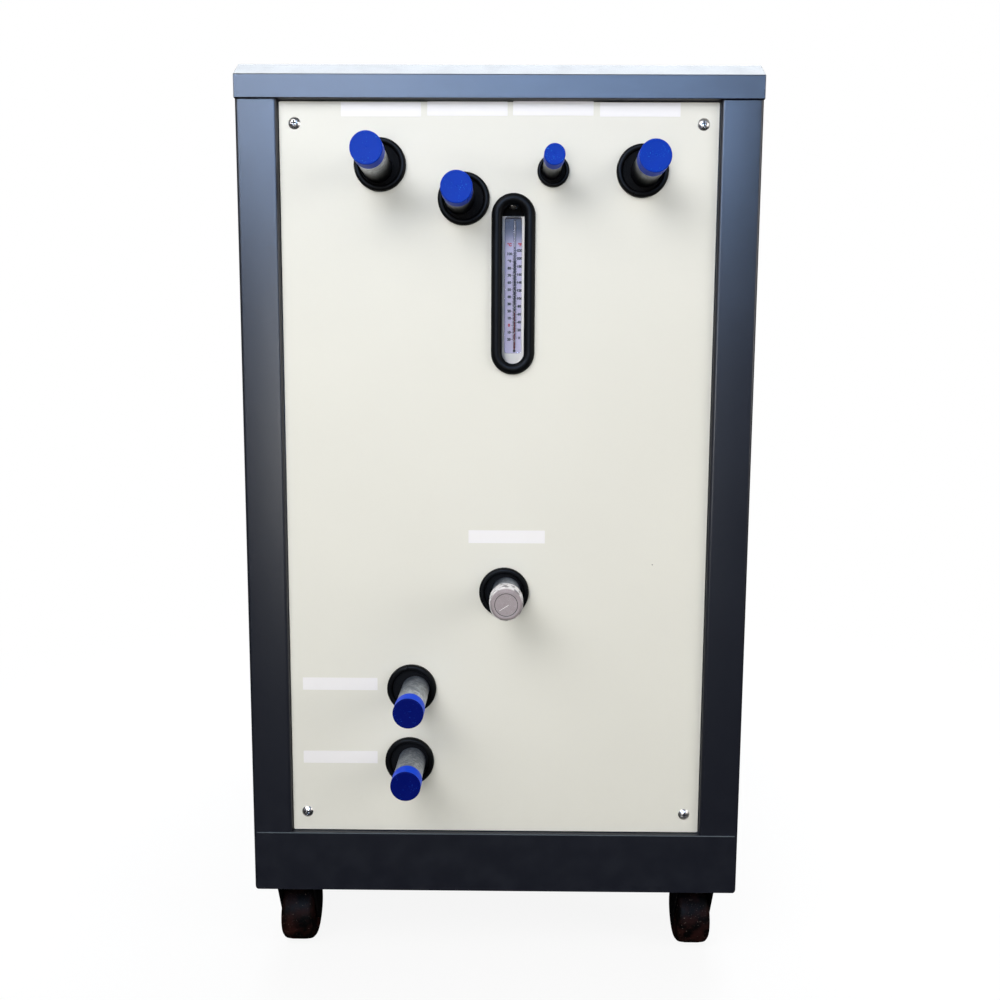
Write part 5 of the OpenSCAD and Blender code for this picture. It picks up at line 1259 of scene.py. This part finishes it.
@dataclass
class Studio:
    """The pale floor, the soft lamps and the camera at the photograph's place."""

    focal: float = 916.5
    frame_px: float = 1000.0
    eye: Triple = (0.0114, -1.47665, 0.7147)
    pitch: float = 6.53
    yaw: float = -0.41
    roll: float = 0.30
    floor_r: float = 9.0
    floor_gap: float = 0.2 * MM
    world_light: float = 0.22

    def build(self) -> None:
        """Makes the floor, world, lamps and camera."""
        self.camera()
        self.floor()
        self.world()
        self.lamp("key", (-1.0, -2.0, 2.15), (0.0, -0.4, 0.75), (1.8, 1.4), 37.0, (1.0, 0.99, 0.975))
        self.lamp("front", (-0.33, -2.6, 0.72), (0.0, -0.4, 0.6), (0.52, 0.8), 14.0, (1.0, 0.99, 0.95))
        window = self.lamp("window", (-0.3, -3.4, 2.12), (0.0, -0.4, 1.0), (3.0, 0.45), 150.0,
                           (0.38, 0.59, 1.0))
        window.visible_diffuse = False
        self.lamp("right-fill", (2.4, -1.6, 1.3), (0.1, -0.2, 0.6), (1.2, 1.6), 27.0, (1.0, 0.98, 0.95))
        self.lamp("top", (0.0, 0.6, 2.6), (0.0, 0.2, 1.0), (2.6, 1.4), 77.0, (0.88, 0.94, 1.0))
        self.lamp("back", (0.6, 2.8, 2.2), (0.0, 0.3, 0.6), (2.0, 1.4), 55.0, (1.0, 1.0, 1.0))

    def camera(self) -> None:
        """The camera: its axes come from the yaw, the downward pitch and the roll."""
        p, y, r = (math.radians(a) for a in (self.pitch, self.yaw, self.roll))
        ahead = Vector((math.sin(y) * math.cos(p), math.cos(y) * math.cos(p), -math.sin(p)))
        right = Vector((math.cos(y), -math.sin(y), 0.0))
        up = right.cross(ahead)
        across = math.cos(r) * right + math.sin(r) * up
        above = math.cos(r) * up - math.sin(r) * right
        data = bpy.data.cameras.new("camera")
        data.sensor_width = 36.0
        data.lens = self.focal * data.sensor_width / self.frame_px
        camera = bpy.data.objects.new("camera", data)
        turn = Matrix((across, above, -ahead)).transposed()
        camera.matrix_world = Matrix.Translation(self.eye) @ turn.to_4x4()
        bpy.context.scene.collection.objects.link(camera)
        bpy.context.scene.camera = camera

    def floor(self) -> None:
        """A round pale floor that fades to white, and keeps the object's shadow near it."""
        r = np.linspace(0.0, self.floor_r, 10)[:, None]
        t = np.linspace(0.0, 2 * math.pi, 64, endpoint=False)[None, :]
        x, y = r * np.cos(t), r * np.sin(t)
        points = np.stack([x, y, np.full(x.shape, -self.floor_gap)], -1)
        floor = grid_surface("floor", points)
        s = Shader("pale_floor")
        reach = s.node("ShaderNodeVectorMath", {"operation": "LENGTH"}, {0: s.place}).outputs["Value"]
        fade = Value(s, reach).ramp(0.75, 1.7)
        shown = s.seen_by("Camera", "Transmission")
        dim = s.mix(s.seen_by("Glossy"), (0.24, 0.23, 0.20), (0.02, 0.02, 0.02))
        matt = s.node("ShaderNodeBsdfDiffuse", {}, {"Color": s.mix(shown, dim, (0.84, 0.84, 0.84))})
        white = s.node("ShaderNodeEmission", {}, {"Color": PURE_WHITE, "Strength": 1.0})
        floor.data.materials.append(s.ended(s.blend((fade * 0.1 + 0.9) * shown.ramp(0.0, 1.0), matt, white)))

    def world(self) -> None:
        """White where the camera or a glass looks, and a dimmer white as light."""
        world = bpy.data.worlds.new("studio")
        world.use_nodes = True
        s = Nodes(world.node_tree)
        sky = {"Color": (0.90, 0.94, 1.0, 1.0), "Strength": self.world_light}
        light = s.node("ShaderNodeBackground", {}, sky)
        white = s.node("ShaderNodeBackground", {}, {"Color": PURE_WHITE})
        both = s.blend(s.seen_by("Camera", "Transmission"), light, white)
        s.node("ShaderNodeOutputWorld", {}, {"Surface": both.outputs[0]})
        bpy.context.scene.world = world

    def lamp(self, name: str, place: Sequence[float], aim: Sequence[float], size: Pair,
             power: float, colour: Colour) -> bpy.types.Object:
        """An area lamp that looks at a point, unseen by the camera.

        Args:
            name: the lamp's name.
            place: where it hangs.
            aim: the point that it looks at.
            size: its width and height in metres.
            power: its power in watts.
            colour: its colour.

        Returns:
            The lamp.
        """
        data = bpy.data.lights.new(name, "AREA")
        data.shape = "RECTANGLE"
        data.size, data.size_y = size
        data.energy = power
        data.color = colour
        lamp = bpy.data.objects.new(name, data)
        lamp.location = place
        lamp.rotation_euler = (Vector(aim) - Vector(place)).to_track_quat("-Z", "Y").to_euler()
        lamp.visible_camera = False
        bpy.context.scene.collection.objects.link(lamp)
        return lamp


def main() -> None:
    """Builds the studio and the chiller's sub-assemblies in order."""
    logging.basicConfig(level=logging.INFO, format="%(name)s: %(message)s")
    bpy.context.scene.view_settings.view_transform = "Standard"
    for part in (Studio(), Cabinet(), Ports(), LevelGauge(), ServiceSide(), Machinery(), Castors()):
        part.build()
        log.info("%s built", type(part).__name__)


if __name__ == "__main__":
    main()
